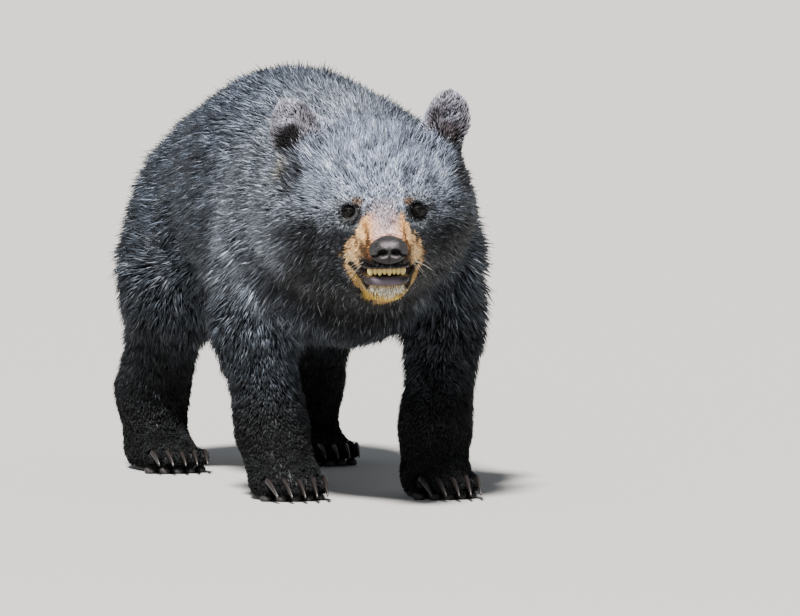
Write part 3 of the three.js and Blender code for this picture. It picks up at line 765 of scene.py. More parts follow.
def skin_material():
    """Bare hide under the hair and in the mouth: matt and finely creased."""
    material, tree = start_material("bear hide")
    place = add_node(tree, "TexCoord").outputs["Object"]
    colour = add_node(tree, "Attribute", {"attribute_name": "skin_colour"}).outputs["Color"]
    creases = add_node(tree, "TexNoise", {"Scale": 1 / 0.0035, "Detail": 3}, {"Vector": place})
    bump = add_node(tree, "Bump", {"Strength": 0.5, "Distance": 0.0008},
                    {"Height": creases.outputs["Fac"]})
    gloss = add_node(tree, "MapRange", {"To Min": 0.45, "To Max": 0.7},
                     {"Value": creases.outputs["Fac"]})
    finish_surface(tree, {"IOR": 1.45}, {
        "Base Color": colour, "Roughness": gloss.outputs["Result"], "Normal": bump.outputs["Normal"]})
    return material


def unwrap(made):
    """Lays the skin out flat, island by island, on its own UV map."""
    bpy.context.view_layer.objects.active = made
    made.select_set(True)
    bpy.ops.object.mode_set(mode="EDIT")
    bpy.ops.mesh.select_all(action="SELECT")
    bpy.ops.uv.smart_project(angle_limit=math.radians(66), island_margin=0.001)
    bpy.ops.object.mode_set(mode="OBJECT")
    made.select_set(False)
    made.data.uv_layers.active.name = "OFBake"


FLESH = [n for n in nodes if not n.startswith(("claw", "eye", "teeth", "nose"))]
skin = mesh_object("skin", skin_points, skin_faces)
unwrap(skin)
# The skin takes the hair's colours a quarter of the way from root to tip, the painted sheen and shade
# among them.
root_colour, tip_colour = markings(skin_points)
in_mouth = ramp(mouth_wedge(in_head(skin_points)), 0.0040, 0.0015)
paint(skin, "skin_colour", mixed(mixed(root_colour, tip_colour, np.full(len(skin_points), 0.25)),
                                 LINING, in_mouth))
skin.data.materials.append(skin_material())
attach(skin, "root")
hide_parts(*FLESH)

# ---- Eyes: two dark wet balls deep in the head, brown round a black pupil, each behind a
# black rim of bare lid. The lids lie on the ball and close on it all round.
GAZE_OUT, GAZE_UP = 0.26, 0.02
LID_WIDE, LID_TALL, UPPER_LID_DROP = math.radians(37), math.radians(31), 0.20
LID_RINGS = ((0.97, -0.0012), (0.98, 0.0003), (1.06, 0.0012), (1.24, 0.0015), (1.50, 0.0010),
             (1.76, -0.0002), (1.84, -0.0022), (1.45, -0.0030))  # opening, height over the ball
LID_STEPS = 48
BALL_RINGS, BALL_SIDES = 24, 40


def gaze_axes(side):
    ahead = unit(np.array((side * GAZE_OUT, -1, GAZE_UP)))
    across = unit(np.cross(ahead, (0, 0, 1)))
    return ahead, across, np.cross(across, ahead)


def polar(axes, angle, way, radius):
    """Points round the first axis: `angle` off it, towards `way` round it."""
    ahead, across, up = axes
    rim = np.cos(way)[..., None] * across + np.sin(way)[..., None] * up
    return radius[..., None] * (np.cos(angle)[..., None] * ahead + np.sin(angle)[..., None] * rim)


def ring_faces(rings, sides, closed=False):
    """Quads between rings of points, the last ring joined to the first where `closed`."""
    ring = np.arange(rings if closed else rings - 1)[:, None] * sides
    nxt = (ring + sides) % (rings * sides)
    k = np.arange(sides)[None, :]
    after = (k + 1) % sides
    return np.stack((ring + k, ring + after, nxt + after, nxt + k), axis=-1).reshape(-1, 4)


def capped(rings, sides):
    """Faces of a closed shape: rings of points, then one point before them and one after."""
    quads = ring_faces(rings, sides)
    k = np.arange(sides)
    after = (k + 1) % sides
    first, last, rim = rings * sides, rings * sides + 1, (rings - 1) * sides
    start = np.stack((np.full(sides, first), after, k), axis=-1)
    end = np.stack((np.full(sides, last), rim + k, rim + after), axis=-1)
    return [quads, np.concatenate((start, end))]


def outward(points, faces):
    """The same faces, turned over if they enclose a negative volume."""
    volume = 0
    for group in faces:
        for k in range(1, group.shape[1] - 1):
            a, b, c = points[group[:, 0]], points[group[:, k]], points[group[:, k + 1]]
            volume += np.einsum("ij,ij->", a - points[0], np.cross(b - points[0], c - points[0]))
    return faces if volume > 0 else [group[:, ::-1] for group in faces]


def joined(shapes):
    """Several (points, faces) as one, the faces grouped by their number of corners."""
    points, groups, start = [], {}, 0
    for shape_points, shape_faces in shapes:
        points.append(shape_points)
        for group in outward(shape_points, shape_faces):
            groups.setdefault(group.shape[1], []).append(group + start)
        start += len(shape_points)
    return np.concatenate(points), [np.concatenate(g) for g in groups.values()]


def globe(rings, sides):
    """Angles off a ball's axis and round it, of rings of points and then of its poles."""
    angle = np.repeat(np.arange(1, rings) * math.pi / rings, sides)
    way = np.tile(np.arange(sides) * 2 * math.pi / sides, rings - 1)
    return np.append(angle, (0, math.pi)), np.append(way, (0, 0))


def lid(side):
    """A ring of lid round an oval opening, drawn out at its inner corner."""
    way = np.arange(LID_STEPS) * 2 * math.pi / LID_STEPS
    inward = np.maximum(0, -side * np.cos(way + side * 0.35))
    opening = 1 / np.hypot(np.cos(way) / LID_WIDE, np.sin(way) / LID_TALL)
    opening *= 1 + 0.30 * inward ** 14
    opening *= 1 - UPPER_LID_DROP * np.maximum(0, np.sin(way)) ** 2
    centre = np.array((side * EYE_HALF_SPACING, 0, 0))
    rings = [centre + polar(gaze_axes(side), share * opening, way,
                            np.full(LID_STEPS, EYE_RADIUS + height)) for share, height in LID_RINGS]
    return from_head(np.concatenate(rings)), [ring_faces(len(LID_RINGS), LID_STEPS, closed=True)]


def eyeball(side):
    """Returns the ball and how far each of its points is off the line of sight."""
    angle, way = globe(BALL_RINGS, BALL_SIDES)
    cornea = 0.0005 * np.exp(-(angle / math.radians(28)) ** 2)
    points = np.array((side * EYE_HALF_SPACING, 0, 0)) + polar(
        gaze_axes(side), angle, way, EYE_RADIUS - 0.0002 + cornea)
    return from_head(points), capped(BALL_RINGS - 1, BALL_SIDES), angle


def solid(code):
    """An sRGB hex value as a socket takes it, with full opacity."""
    return (*linear(code), 1)


def eye_material():
    """Cornea over a dark brown iris: almost black, with one sharp highlight."""
    material, tree = start_material("wet cornea")
    off = add_node(tree, "Attribute", {"attribute_name": "off_sight"}).outputs["Fac"]
    bands = add_node(tree, "ValToRGB", links={"Fac": off})
    stops = ((0.0, "010101"), (0.22, "010101"), (0.27, "090604"), (0.44, "0c0805"),
             (0.52, "030202"), (0.85, "020202"))
    ramp_stops = bands.color_ramp.elements
    while len(ramp_stops) < len(stops):
        ramp_stops.new(0.5)
    for stop, (position, code) in zip(ramp_stops, stops):
        stop.position = position
        stop.color = solid(code)
    finish_surface(tree, {"Roughness": 0.06, "IOR": 1.34, "Specular IOR Level": 0.30},
                   {"Base Color": bands.outputs["Color"]})
    return material


def bare_material():
    """Bare black-brown skin of lids and lips: smooth, damp, with a soft shine."""
    material, tree = start_material("bare damp skin")
    place = add_node(tree, "TexCoord").outputs["Object"]
    colour = add_node(tree, "Attribute", {"attribute_name": "skin_colour"}).outputs["Color"]
    wrinkles = add_node(tree, "TexNoise", {"Scale": 1 / 0.0016, "Detail": 2}, {"Vector": place})
    bump = add_node(tree, "Bump", {"Strength": 0.6, "Distance": 0.0008},
                    {"Height": wrinkles.outputs["Fac"]})
    damp = {"Roughness": 0.46, "IOR": 1.40, "Coat Weight": 0.10, "Coat Roughness": 0.2}
    finish_surface(tree, damp, {"Base Color": colour, "Normal": bump.outputs["Normal"]})
    return material


def lid_material():
    """Bare lid: thin dry black skin, which catches hardly any light."""
    material, tree = start_material("dry lid skin")
    finish_surface(tree, {"Base Color": solid("040303"), "Roughness": 0.50,
                          "Specular IOR Level": 0.10}, {})
    return material


BARE_SKIN = bare_material()
EYE_SHINE = eye_material()
lids = mesh_object("eyelids", *joined([lid(-1), lid(1)]))
lids.data.materials.append(lid_material())
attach(lids, "root")
for side, hand in ((1, "left"), (-1, "right")):
    ball_points, ball_faces, off_sight = eyeball(side)
    eye = mesh_object("eyeball_" + hand, ball_points, outward(ball_points, ball_faces))
    layer = eye.data.attributes.new("off_sight", "FLOAT", "POINT")
    layer.data.foreach_set("value", off_sight.astype(np.float32))
    eye.data.materials.append(EYE_SHINE)
    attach(eye, "root")
    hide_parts("eye_" + hand)

# ---- Nose: one bare black pad, broad at the top, with two deep comma-shaped nostrils and a
# groove down its middle. The skin is pebbled in cells under two millimetres across, and damp.
NOSE_RINGS, NOSE_SIDES = 84, 120
NOSTRIL_AT = (0.0084, 0.0004)
NOSTRIL_DEPTH = 0.010


def nostril(across, up):
    """How open each place is, in the round hole or the slit beside it, and how far it is on
    the raised wing round the hole."""
    out, above = across - NOSTRIL_AT[0], up - NOSTRIL_AT[1]
    hole = np.hypot((out * 0.966 - above * 0.259) / 0.0058, (out * 0.259 + above * 0.966) / 0.0040)
    flat = np.column_stack((across, up, 0 * up))
    slit, _ = away_from(flat, (0.0105, -0.0010, 0), (0.0210, -0.0062, 0))
    open_share = np.maximum(ramp(hole, 1.25, 0.75), ramp(slit, 0.0022, 0.0006))
    return open_share, np.exp(-(((hole - 1.60) / 0.35) ** 2))


def nose_pad():
    """Returns the pad's points and faces and the points' colours: a painted highlight on its brow and
    under its nostrils, and darkest, with painted shade, in the nostrils.
    """
    angle, way = globe(NOSE_RINGS, NOSE_SIDES)
    x, z = np.sin(angle) * np.cos(way), np.sin(angle) * np.sin(way)
    y = -np.sign(np.cos(angle)) * np.abs(np.cos(angle)) ** 0.75
    wide = 0.9 + 0.16 * z - 0.14 * z * z
    half, deep, tall = NOSE_SIZE
    points = np.column_stack((x * half * wide, y * deep + 0.003 * z * z, z * tall - 0.0025 * x * x))
    front = ramp(y, 0.15, -0.25)
    across, up = np.abs(points[:, 0]), points[:, 2]
    open_share, wing = (share * front for share in nostril(across, up))
    brow = np.exp(-(((up - 0.0110) / 0.0030) ** 2)) * front * ramp(across, 0.015, 0.004)
    groove = ramp(across, 0.0013, 0.0002) * ramp(up, 0.004, -0.003) * front
    points[:, 1] += NOSTRIL_DEPTH * open_share - 0.0018 * wing - 0.0006 * brow + 0.0016 * groove
    # Painted highlight: a broad gloss on the brow and light caught on the wings under the nostrils.
    low_wing = wing * ramp(up, -0.001, -0.005) * ramp(across, 0.014, 0.009)
    painted_highlight = 0.8 * np.maximum(low_wing, brow)
    colour = mixed(np.broadcast_to(linear("0c0809"), points.shape), linear("7a7074"), painted_highlight)
    # Painted shade inside the nostrils.
    return (from_head(points + NOSE_AT), capped(NOSE_RINGS - 1, NOSE_SIDES),
            mixed(colour, linear("040303"), open_share))


def nose_material():
    """Rhinarium: hairless, thick, black-brown skin in small pebbles, damp enough to shine."""
    material, tree = start_material("pebbled nose skin")
    place = add_node(tree, "TexCoord").outputs["Object"]
    colour = add_node(tree, "Attribute", {"attribute_name": "skin_colour"}).outputs["Color"]
    pebbles = add_node(tree, "TexVoronoi", {"Scale": 1 / 0.0017, "feature": "DISTANCE_TO_EDGE"},
                       {"Vector": place})
    crowns = add_node(tree, "MapRange", {"From Max": 0.35, "interpolation_type": "SMOOTHSTEP"},
                      {"Value": pebbles.outputs["Distance"]})
    bump = add_node(tree, "Bump", {"Strength": 1.0, "Distance": 0.0011},
                    {"Height": crowns.outputs["Result"]})
    gloss = add_node(tree, "MapRange", {"To Min": 0.58, "To Max": 0.42},
                     {"Value": crowns.outputs["Result"]})
    finish_surface(tree, {"IOR": 1.48}, {
        "Base Color": colour, "Roughness": gloss.outputs["Result"], "Normal": bump.outputs["Normal"]})
    return material


pad_points, pad_faces, pad_colour = nose_pad()
nose = mesh_object("nose_pad", pad_points, outward(pad_points, pad_faces))
paint(nose, "skin_colour", pad_colour)
nose.data.materials.append(nose_material())
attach(nose, "root")
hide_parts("nose")

# ---- Mouth: yellowed upper front teeth on their gum, and bare purple-black lips. The lower
# lip is a thick roll round the front of the jaw, the upper one a thin edge over the teeth.
LIP_STEPS = 40
LOWER_LIP = {"half": 0.0268, "front": -0.0770, "back": -0.0570, "radii": (0.0048, 0.0054),
             "rise": math.radians(8.4), "lift": -0.0147, "ends_up": 0.0060}
UPPER_LIP = {"half": 0.0300, "front": -0.0780, "back": -0.0480, "radii": (0.0015, 0.0017),
             "rise": UPPER_LIP_RISE, "lift": 0.0014, "ends_up": 0}
TOOTH_WIDTHS = (0.0078, 0.0054, 0.0062, 0.0060, 0.0065, 0.0055, 0.0060, 0.0076)
TOOTH_LENGTHS = (0.0108, 0.0092, 0.0102, 0.0088, 0.0104, 0.0090, 0.0098, 0.0112)
TEETH_FRONT = -0.0755
TOOTH_ARCH = 0.011


def swept(path, wide, tall, up, sides=12):
    """A closed tube along a path, its ends drawn to a point; `wide` and `tall` are its half
    sizes at each point of the path, and `up` says which way is tall."""
    path, count = np.asarray(path, float), len(path)
    along = unit(np.gradient(path, axis=0))
    across = unit(np.cross(along, np.broadcast_to(up, path.shape)))
    upright = np.cross(across, along)
    way = np.arange(sides) * 2 * math.pi / sides
    wide, tall = np.broadcast_to(wide, count), np.broadcast_to(tall, count)
    rim = (np.cos(way)[None, :, None] * across[:, None] * wide[:, None, None]
           + np.sin(way)[None, :, None] * upright[:, None] * tall[:, None, None])
    rings = (path[:, None] + rim)[1:-1].reshape(-1, 3)
    return np.concatenate((rings, path[[0, -1]])), capped(count - 2, sides)


def edge_height(y, rise):
    """How high the edge of a lip is, forwards from the corner of the mouth."""
    return MOUTH_CORNER[2] + (MOUTH_CORNER[1] - y) * math.tan(rise)


def lip(shape):
    """A roll round the front of the jaw, its ends sunk into the closed sides of the mouth."""
    t = np.linspace(-1, 1, LIP_STEPS)
    x = MOUTH_ACROSS + shape["half"] * np.sin(t * math.pi / 2)
    y = shape["back"] + (shape["front"] - shape["back"]) * np.cos(t * math.pi / 2) ** 0.75
    height = edge_height(y, shape["rise"]) + shape["lift"] + shape["ends_up"] * t ** 8
    path = np.column_stack((x, y, height))
    fullness = np.sqrt(np.clip(1 - t ** 4, 0, 1))
    wide, tall = shape["radii"]
    points, faces = swept(path, wide * fullness, tall * fullness, (0, 0, 1))
    return from_head(points), faces


def tooth(place, width, length, splay):
    """One tooth, from its gum down to its tip: it touches its neighbours over most of its
    height and narrows to a rounded tip."""
    t = np.linspace(0, 1, 14)
    path = np.array(place) + np.outer(t, (0.0006 * splay, 0.0008, -length))
    path[0, 2] += 0.0035
    rounded = np.sqrt(np.clip(1 - t ** 9, 0, 1))
    taper = 1.18 - 0.52 * ramp(t, 0.38, 0.98)
    points, faces = swept(path, width / 2 * taper * rounded, 0.0026 * rounded, (0, 1, 0), sides=14)
    return from_head(points), faces


def tooth_row():
    total = sum(TOOTH_WIDTHS)
    x, row = -total / 2, []
    for width, length in zip(TOOTH_WIDTHS, TOOTH_LENGTHS):
        share = (x + width / 2) / (total / 2)
        y = TEETH_FRONT + TOOTH_ARCH * share * share
        across = MOUTH_ACROSS + (x + width / 2) * (1 - 0.08 * share * share)
        row.append(tooth((across, y, edge_height(y, UPPER_LIP_RISE)), width, length, share))
        x += width
    return row


def gum():
    t = np.linspace(-1.05, 1.05, 24)
    x = t * sum(TOOTH_WIDTHS) / 2 * (1 - 0.08 * t * t)
    y = TEETH_FRONT + 0.001 + TOOTH_ARCH * t * t
    path = np.column_stack((x + MOUTH_ACROSS, y, edge_height(y, UPPER_LIP_RISE) + 0.0020))
    points, faces = swept(path, 0.0034, 0.0030, (0, 0, 1))
    return from_head(points), faces


def tooth_material():
    """Tooth enamel, yellowed and stained: smooth, a little see-through. Its painted colour darkens
    towards the gum, partly stain and partly painted shadow of the lip.
    """
    material, tree = start_material("stained tooth enamel")
    place = add_node(tree, "TexCoord").outputs["Object"]
    colour = add_node(tree, "Attribute", {"attribute_name": "skin_colour"}).outputs["Color"]
    stain = add_node(tree, "TexNoise", {"Scale": 1 / 0.004, "Detail": 3}, {"Vector": place})
    tinted = add_node(tree, "Mix", {"data_type": "RGBA", "blend_type": "MULTIPLY", "Factor": 0.35},
                      {6: colour, 7: stain.outputs["Color"]})
    finish_surface(tree, {"Roughness": 0.28, "IOR": 1.6, "Subsurface Weight": 0.15,
                          "Subsurface Radius": (0.0015, 0.001, 0.0006), "Subsurface Scale": 1.0},
                   {"Base Color": tinted.outputs[2]})
    return material


teeth = mesh_object("front_teeth", *joined(tooth_row()))
tooth_points = in_head(np.array([v.co for v in teeth.data.vertices]))
below_gum = edge_height(tooth_points[:, 1], UPPER_LIP_RISE) - tooth_points[:, 2]
# Darker towards the gum: partly stain, partly painted shadow of the lip.
enamel = np.broadcast_to(linear("c0ab66"), tooth_points.shape)
paint(teeth, "skin_colour", mixed(enamel, linear("a08440"), ramp(below_gum, 0.006, 0)))
teeth.data.materials.append(tooth_material())
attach(teeth, "root")
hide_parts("teeth")
for name, shape, middle_colour, end_colour in (
    ("upper_gum", gum(), "3a2022", "2a1719"),
    ("lip_lower", lip(LOWER_LIP), "483d49", "1a1315"),
    ("lip_upper", lip(UPPER_LIP), "110b0b", "110b0b"),
):
    piece = mesh_object(name, *joined([shape]))
    spots = in_head(np.array([v.co for v in piece.data.vertices]))
    blotch = 0.35 * ramp(wobble(spots, 0.006, 6), 0.2, 1.2)
    to_end = np.maximum(blotch, ramp(np.abs(spots[:, 0] - MOUTH_ACROSS), 0.012, 0.022))
    tint = np.broadcast_to(linear(middle_colour), spots.shape)
    paint(piece, "skin_colour", mixed(tint, linear(end_colour), to_end))
    piece.data.materials.append(BARE_SKIN)
    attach(piece, "root")

# ---- Whiskers: stiff tapering hairs as thick as fishing line, each rooted in the side of
# the upper lip and bowed outwards and down.
WHISKERS_A_SIDE = 7
WHISKER_RADIUS = 0.00022


def whisker(side, random):
    """One whisker, from inside the lip to its tip."""
    root = np.array((side * random.uniform(0.028, 0.034), random.uniform(-0.062, -0.020),
                     random.uniform(-0.060, -0.040)))
    ahead = unit(np.array((side, random.uniform(-0.45, 0.45), random.uniform(-0.90, -0.05))))
    t = np.linspace(0, 1, 9)[:, None]
    path = root + ahead * t * random.uniform(0.022, 0.042) + (0, 0, -0.007) * t * t
    thick = WHISKER_RADIUS * (1 - 0.8 * t[:, 0])
    points, faces = swept(path, thick, thick, (0, 0, 1), sides=6)
    return from_head(points), faces


def whisker_material():
    """Whisker: a stiff translucent bristle, pale grey and slightly glossy."""
    material, tree = start_material("whisker bristle")
    finish_surface(tree, {"Base Color": solid("8e867d"), "Roughness": 0.40, "IOR": 1.50}, {})
    return material


whisker_random = np.random.default_rng(8)
whiskers = mesh_object("whiskers", *joined(
    [whisker(side, whisker_random) for side in (-1, 1) for _ in range(WHISKERS_A_SIDE)]))
whiskers.data.materials.append(whisker_material())
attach(whiskers, "root")

# ---- Claws and pads: five dark horn claws to a foot, curved and thickest at the root, and
# leathery black pads under the sole and toes, on which the bear stands.
CLAW_HALF = (0.0034, 0.0047)
PAD_HEIGHT = 0.0065
FORE_SOLE, HIND_SOLE = (0.040, 0.030), (0.038, 0.062)  # half width and half length
FEET = [("fore", "left", 1, FORE_PAW_OUT, FORE_STRIDE[1], FORE_TOE_REACH, FORE_SOLE),
        ("fore", "right", -1, FORE_PAW_OUT, FORE_STRIDE[-1], FORE_TOE_REACH, FORE_SOLE),
        ("hind", "left", 1, HIND_PAW_OUT, HIND_STRIDE[1], HIND_TOE_REACH, HIND_SOLE),
        ("hind", "right", -1, HIND_PAW_OUT, HIND_STRIDE[-1], HIND_TOE_REACH, HIND_SOLE)]


def claw(node):
    """A claw along its construction solid, from a root inside the toe to the tip."""
    points = np.array([v.co for v in nodes[node].data.vertices])
    tip = points[np.argmin(points[:, 1])]
    root = points[points[:, 1] > points[:, 1].max() - 0.004].mean(axis=0) + (0, 0.006, 0)
    t = np.linspace(0, 1, 14)[:, None]
    crest = (root + tip) / 2 + (0, 0, 0.006)
    path = (1 - t) ** 2 * root + 2 * t * (1 - t) * crest + t ** 2 * tip
    thin = np.sqrt(np.clip(1 - t[:, 0] ** 1.6, 0, 1))
    return swept(path, CLAW_HALF[0] * thin, CLAW_HALF[1] * thin, (0, 0, 1), sides=14)


def cushion(centre, radii, rings=16, sides=32):
    """A rounded pad with a flat underside on the floor."""
    angle, way = globe(rings, sides)
    flat = np.column_stack((np.cos(way), np.sin(way))) * np.sin(angle)[:, None]
    points = np.column_stack((flat, np.cos(angle)))
    points = points * (*radii, PAD_HEIGHT) + (*centre, PAD_HEIGHT * 0.55)
    points[:, 2] = np.maximum(points[:, 2], 0)
    return points, capped(rings - 1, sides)


def pads(side, out, stride, toe_reach, sole):
    """The sole's pad and the five toes' pads of one foot."""
    shapes = [cushion(CLAY_SHIFT[:2] + (side * out, stride + 0.006), sole)]
    for k in range(-2, 3):
        toe = (side * out + k * TOE_SPACING, stride - toe_reach + 0.005 + TOE_ARC * k * k)
        shapes.append(cushion(CLAY_SHIFT[:2] + toe, (0.0078, 0.011)))
    return shapes


def horn_material():
    """Claw horn: dark brown keratin, smooth, with fine grooves along each claw."""
    material, tree = start_material("claw horn")
    place = add_node(tree, "TexCoord").outputs["Object"]
    grooves = add_node(tree, "Mapping", {"Scale": (1 / 0.0012, 1 / 0.02, 1 / 0.0012)},
                       {"Vector": place})
    grain = add_node(tree, "TexNoise", {"Scale": 1.0, "Detail": 2}, {"Vector": grooves.outputs[0]})
    bands = add_node(tree, "Mix", {"data_type": "RGBA", 6: solid("0b0909"), 7: solid("221c19")},
                     {"Factor": grain.outputs["Fac"]})
    bump = add_node(tree, "Bump", {"Strength": 0.3, "Distance": 0.0003},
                    {"Height": grain.outputs["Fac"]})
    finish_surface(tree, {"Roughness": 0.32, "IOR": 1.54},
                   {"Base Color": bands.outputs[2], "Normal": bump.outputs["Normal"]})
    return material


def pad_material():
    """Foot pad: thick, dry, cracked black leather."""
    material, tree = start_material("foot pad leather")
    place = add_node(tree, "TexCoord").outputs["Object"]
    cracks = add_node(tree, "TexVoronoi", {"Scale": 1 / 0.004, "feature": "DISTANCE_TO_EDGE"},
                      {"Vector": place})
    tone = add_node(tree, "Mix", {"data_type": "RGBA", 6: solid("0e0c0c"), 7: solid("2d2726")},
                    {"Factor": cracks.outputs["Distance"]})
    bump = add_node(tree, "Bump", {"Strength": 0.6, "Distance": 0.0008},
                    {"Height": cracks.outputs["Distance"]})
    finish_surface(tree, {"Roughness": 0.75},
                   {"Base Color": tone.outputs[2], "Normal": bump.outputs["Normal"]})
    return material


HORN, PAD_LEATHER = horn_material(), pad_material()
for pair, hand, side, out, stride, toe_reach, sole in FEET:
    claw_nodes = [f"claw_{pair}_{hand}_{k}" for k in range(1, 6)]
    claws = mesh_object(f"claws_{pair}_{hand}", *joined([claw(n) for n in claw_nodes]))
    claws.data.materials.append(HORN)
    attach(claws, "root")
    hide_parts(*claw_nodes)
    pad_shapes = pads(side, out, stride, toe_reach, sole)
    foot_pads = mesh_object(f"pads_{pair}_{hand}", *joined(pad_shapes))
    foot_pads.data.materials.append(PAD_LEATHER)
    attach(foot_pads, "root")

# ---- Coat: dense black hair in thin pointed locks that leave the skin steeply and lie down
# along the body. Each is a closed three-sided spindle, widest past its middle, with its tip
# at the outline of the coat. On the muzzle and feet the locks are a few millimetres long.
QUICK_SHARE = 1.0  # fewer and wider locks while trying things out
PATCH = 0.0015  # half the size of a lock's patch on the bake map
ROOT_DEPTH = 0.0010  # how far a lock's root is under the skin
LOWEST_HAIR = 0.0006  # height over the floor
WIDEST = 0.62  # how far along a lock its widest place is
MIDDLE_TINT = 0.42  # how far that place is from the root's colour to the tip's
STRAYS = 0.07  # share of the tips that stand out of the coat
CLUMP = 14  # locks whose tips lean together


def corners_of(made):
    """Each triangle's vertices and its loops."""
    mesh = made.data
    mesh.calc_loop_triangles()
    flat = np.empty(len(mesh.loop_triangles) * 3, np.int32)
    mesh.loop_triangles.foreach_get("vertices", flat)
    loops = np.empty_like(flat)
    mesh.loop_triangles.foreach_get("loops", loops)
    return flat.reshape(-1, 3), loops.reshape(-1, 3)


def vertex_normals(points, triangles):
    a, b, c = (points[triangles[:, k]] for k in range(3))
    across = np.cross(b - a, c - a)
    total = np.zeros_like(points)
    for corner, axis in product(range(3), range(3)):
        total[:, axis] += np.bincount(triangles[:, corner], across[:, axis], len(points))
    return unit(total)


def neighbour_mean(values, edges):
    total = np.zeros_like(values)
    for k in range(values.shape[1]):
        total[:, k] += np.bincount(edges[:, 0], values[edges[:, 1], k], len(values))
        total[:, k] += np.bincount(edges[:, 1], values[edges[:, 0], k], len(values))
    return total


def flat_on(vectors, normals):
    return unit(vectors - np.einsum("ij,ij->i", vectors, normals)[:, None] * normals)


def lie_of(points, normals):
    """Which way the hair lies: back over the body and down its sides and legs, away from the
    nose over the head, round the eyes, up the ears and forwards over the feet."""
    head = in_head(points)
    leg = ramp(points[:, 2], 0.34, 0.20)
    lie = np.column_stack((np.zeros(len(points)), 1 - 0.85 * leg,
                           -0.30 - 0.75 * leg - 0.30 * np.abs(normals[:, 0])))
    foot = ramp(points[:, 2], 0.10, 0.05)
    lie = mixed(lie, np.array((0, -1, -0.35)), foot)
    from_nose = unit(head - (0, -0.125, -0.012))
    from_nose[:, 2] -= 0.12 + 0.30 * ramp(head[:, 2], 0.040, -0.050)
    for side in (-1, 1):
        from_eye = head - (side * EYE_HALF_SPACING, 0, 0)
        close = ramp(np.linalg.norm(from_eye, axis=1), 0.032, 0.014)
        from_nose = mixed(from_nose, unit(from_eye), 0.85 * close)
    lie = mixed(lie, from_nose @ HEAD_AXES.T, on_head(head))
    for ear in EARS:
        own = in_ear(head, ear)
        up = np.column_stack((own[:, 0] / EAR_HALF * 0.5, np.zeros(len(own)), np.ones(len(own))))
        lie = mixed(lie, up @ ear[1].T @ HEAD_AXES.T, on_ear(own))
    return flat_on(lie, normals)


triangles, triangle_loops = corners_of(skin)
normals = vertex_normals(skin_points, triangles)
lies = lie_of(skin_points, normals)
edges = np.empty(len(skin.data.edges) * 2, np.int32)
skin.data.edges.foreach_get("vertices", edges)
edges = edges.reshape(-1, 2)
for _ in range(12):
    lies = flat_on(lies + neighbour_mean(lies, edges) / 4, normals)
uv_flat = np.empty(len(skin.data.loops) * 2, np.float32)
skin.data.uv_layers["OFBake"].data.foreach_get("uv", uv_flat)
skin_uv = uv_flat.reshape(-1, 2)


def spacing_at(place):
    """How far apart the roots are: closest on the muzzle and forehead, where the hair is
    finest, wider on the cheeks and widest on the body."""
    head = in_head(place)
    body = mixed(0.0020, 0.0018, ramp(place[:, 2], 0.10, 0.04))
    from_brow = np.linalg.norm(head - (0, 0.030, 0.055), axis=1)
    coarse = ramp(from_brow, 0.085, 0.130) * ramp(from_face(head), 0.045, 0.075)
    on_face = mixed(0.0011, 0.0017, coarse)
    return mixed(body, on_face, on_head(head)) + 0.019 * coat_depth(place)


def spread_roots(random):
    """Roots all over the skin: each one's place, normal, lie and spot on the bake map."""
    a, b, c = (skin_points[triangles[:, k]] for k in range(3))
    area = np.linalg.norm(np.cross(b - a, c - a), axis=1) / 2
    wanted = QUICK_SHARE * area / spacing_at((a + b + c) / 3) ** 2
    count = np.floor(wanted + random.random(len(wanted))).astype(int)
    chosen = np.repeat(np.arange(len(triangles)), count)
    share = random.random((len(chosen), 2))
    share[share.sum(axis=1) > 1] = 1 - share[share.sum(axis=1) > 1]
    weight = np.column_stack((1 - share.sum(axis=1), share))[:, :, None]
    corner, loop = triangles[chosen], triangle_loops[chosen]
    place = (skin_points[corner] * weight).sum(axis=1)
    normal = unit((normals[corner] * weight).sum(axis=1))
    lie = flat_on((lies[corner] * weight).sum(axis=1), normal)
    return place, normal, lie, (skin_uv[loop] * weight).sum(axis=1)


def grows_hair(place, normal):
    """False on the bare nose, lids, lips, mouth and soles."""
    head = in_head(place)
    bare = ellipsoid(NOSE_AT, NOSE_SIZE + 0.0006)(head) < 0
    bare |= mouth_wedge(head) < 0.0024
    bare |= (place[:, 2] < 0.010) & (normal[:, 2] < -0.3)
    for side in (-1, 1):
        from_eye = head - (side * EYE_HALF_SPACING, 0, 0)
        away = np.linalg.norm(from_eye, axis=1)
        off = np.arccos(np.clip(unit(from_eye) @ gaze_axes(side)[0], -1, 1))
        bare |= (away < 0.014) & (off < LID_WIDE * 1.30)
    return ~bare


def leaders_of(place, random):
    """For each root, the nearest of the few roots that lead a clump."""
    count = len(place) // CLUMP + 1
    leaders = np.sort(random.choice(len(place), count, replace=False))
    tree = KDTree(count)
    for number, leader in enumerate(leaders):
        tree.insert(place[leader], number)
    tree.balance()
    return leaders[[tree.find(p)[1] for p in place]]


def swung(lie, normal, angle):
    """The lie turned about the normal, and the way across it."""
    across = np.cross(lie, normal)
    lie = lie * np.cos(angle)[:, None] + across * np.sin(angle)[:, None]
    return lie, np.cross(lie, normal)


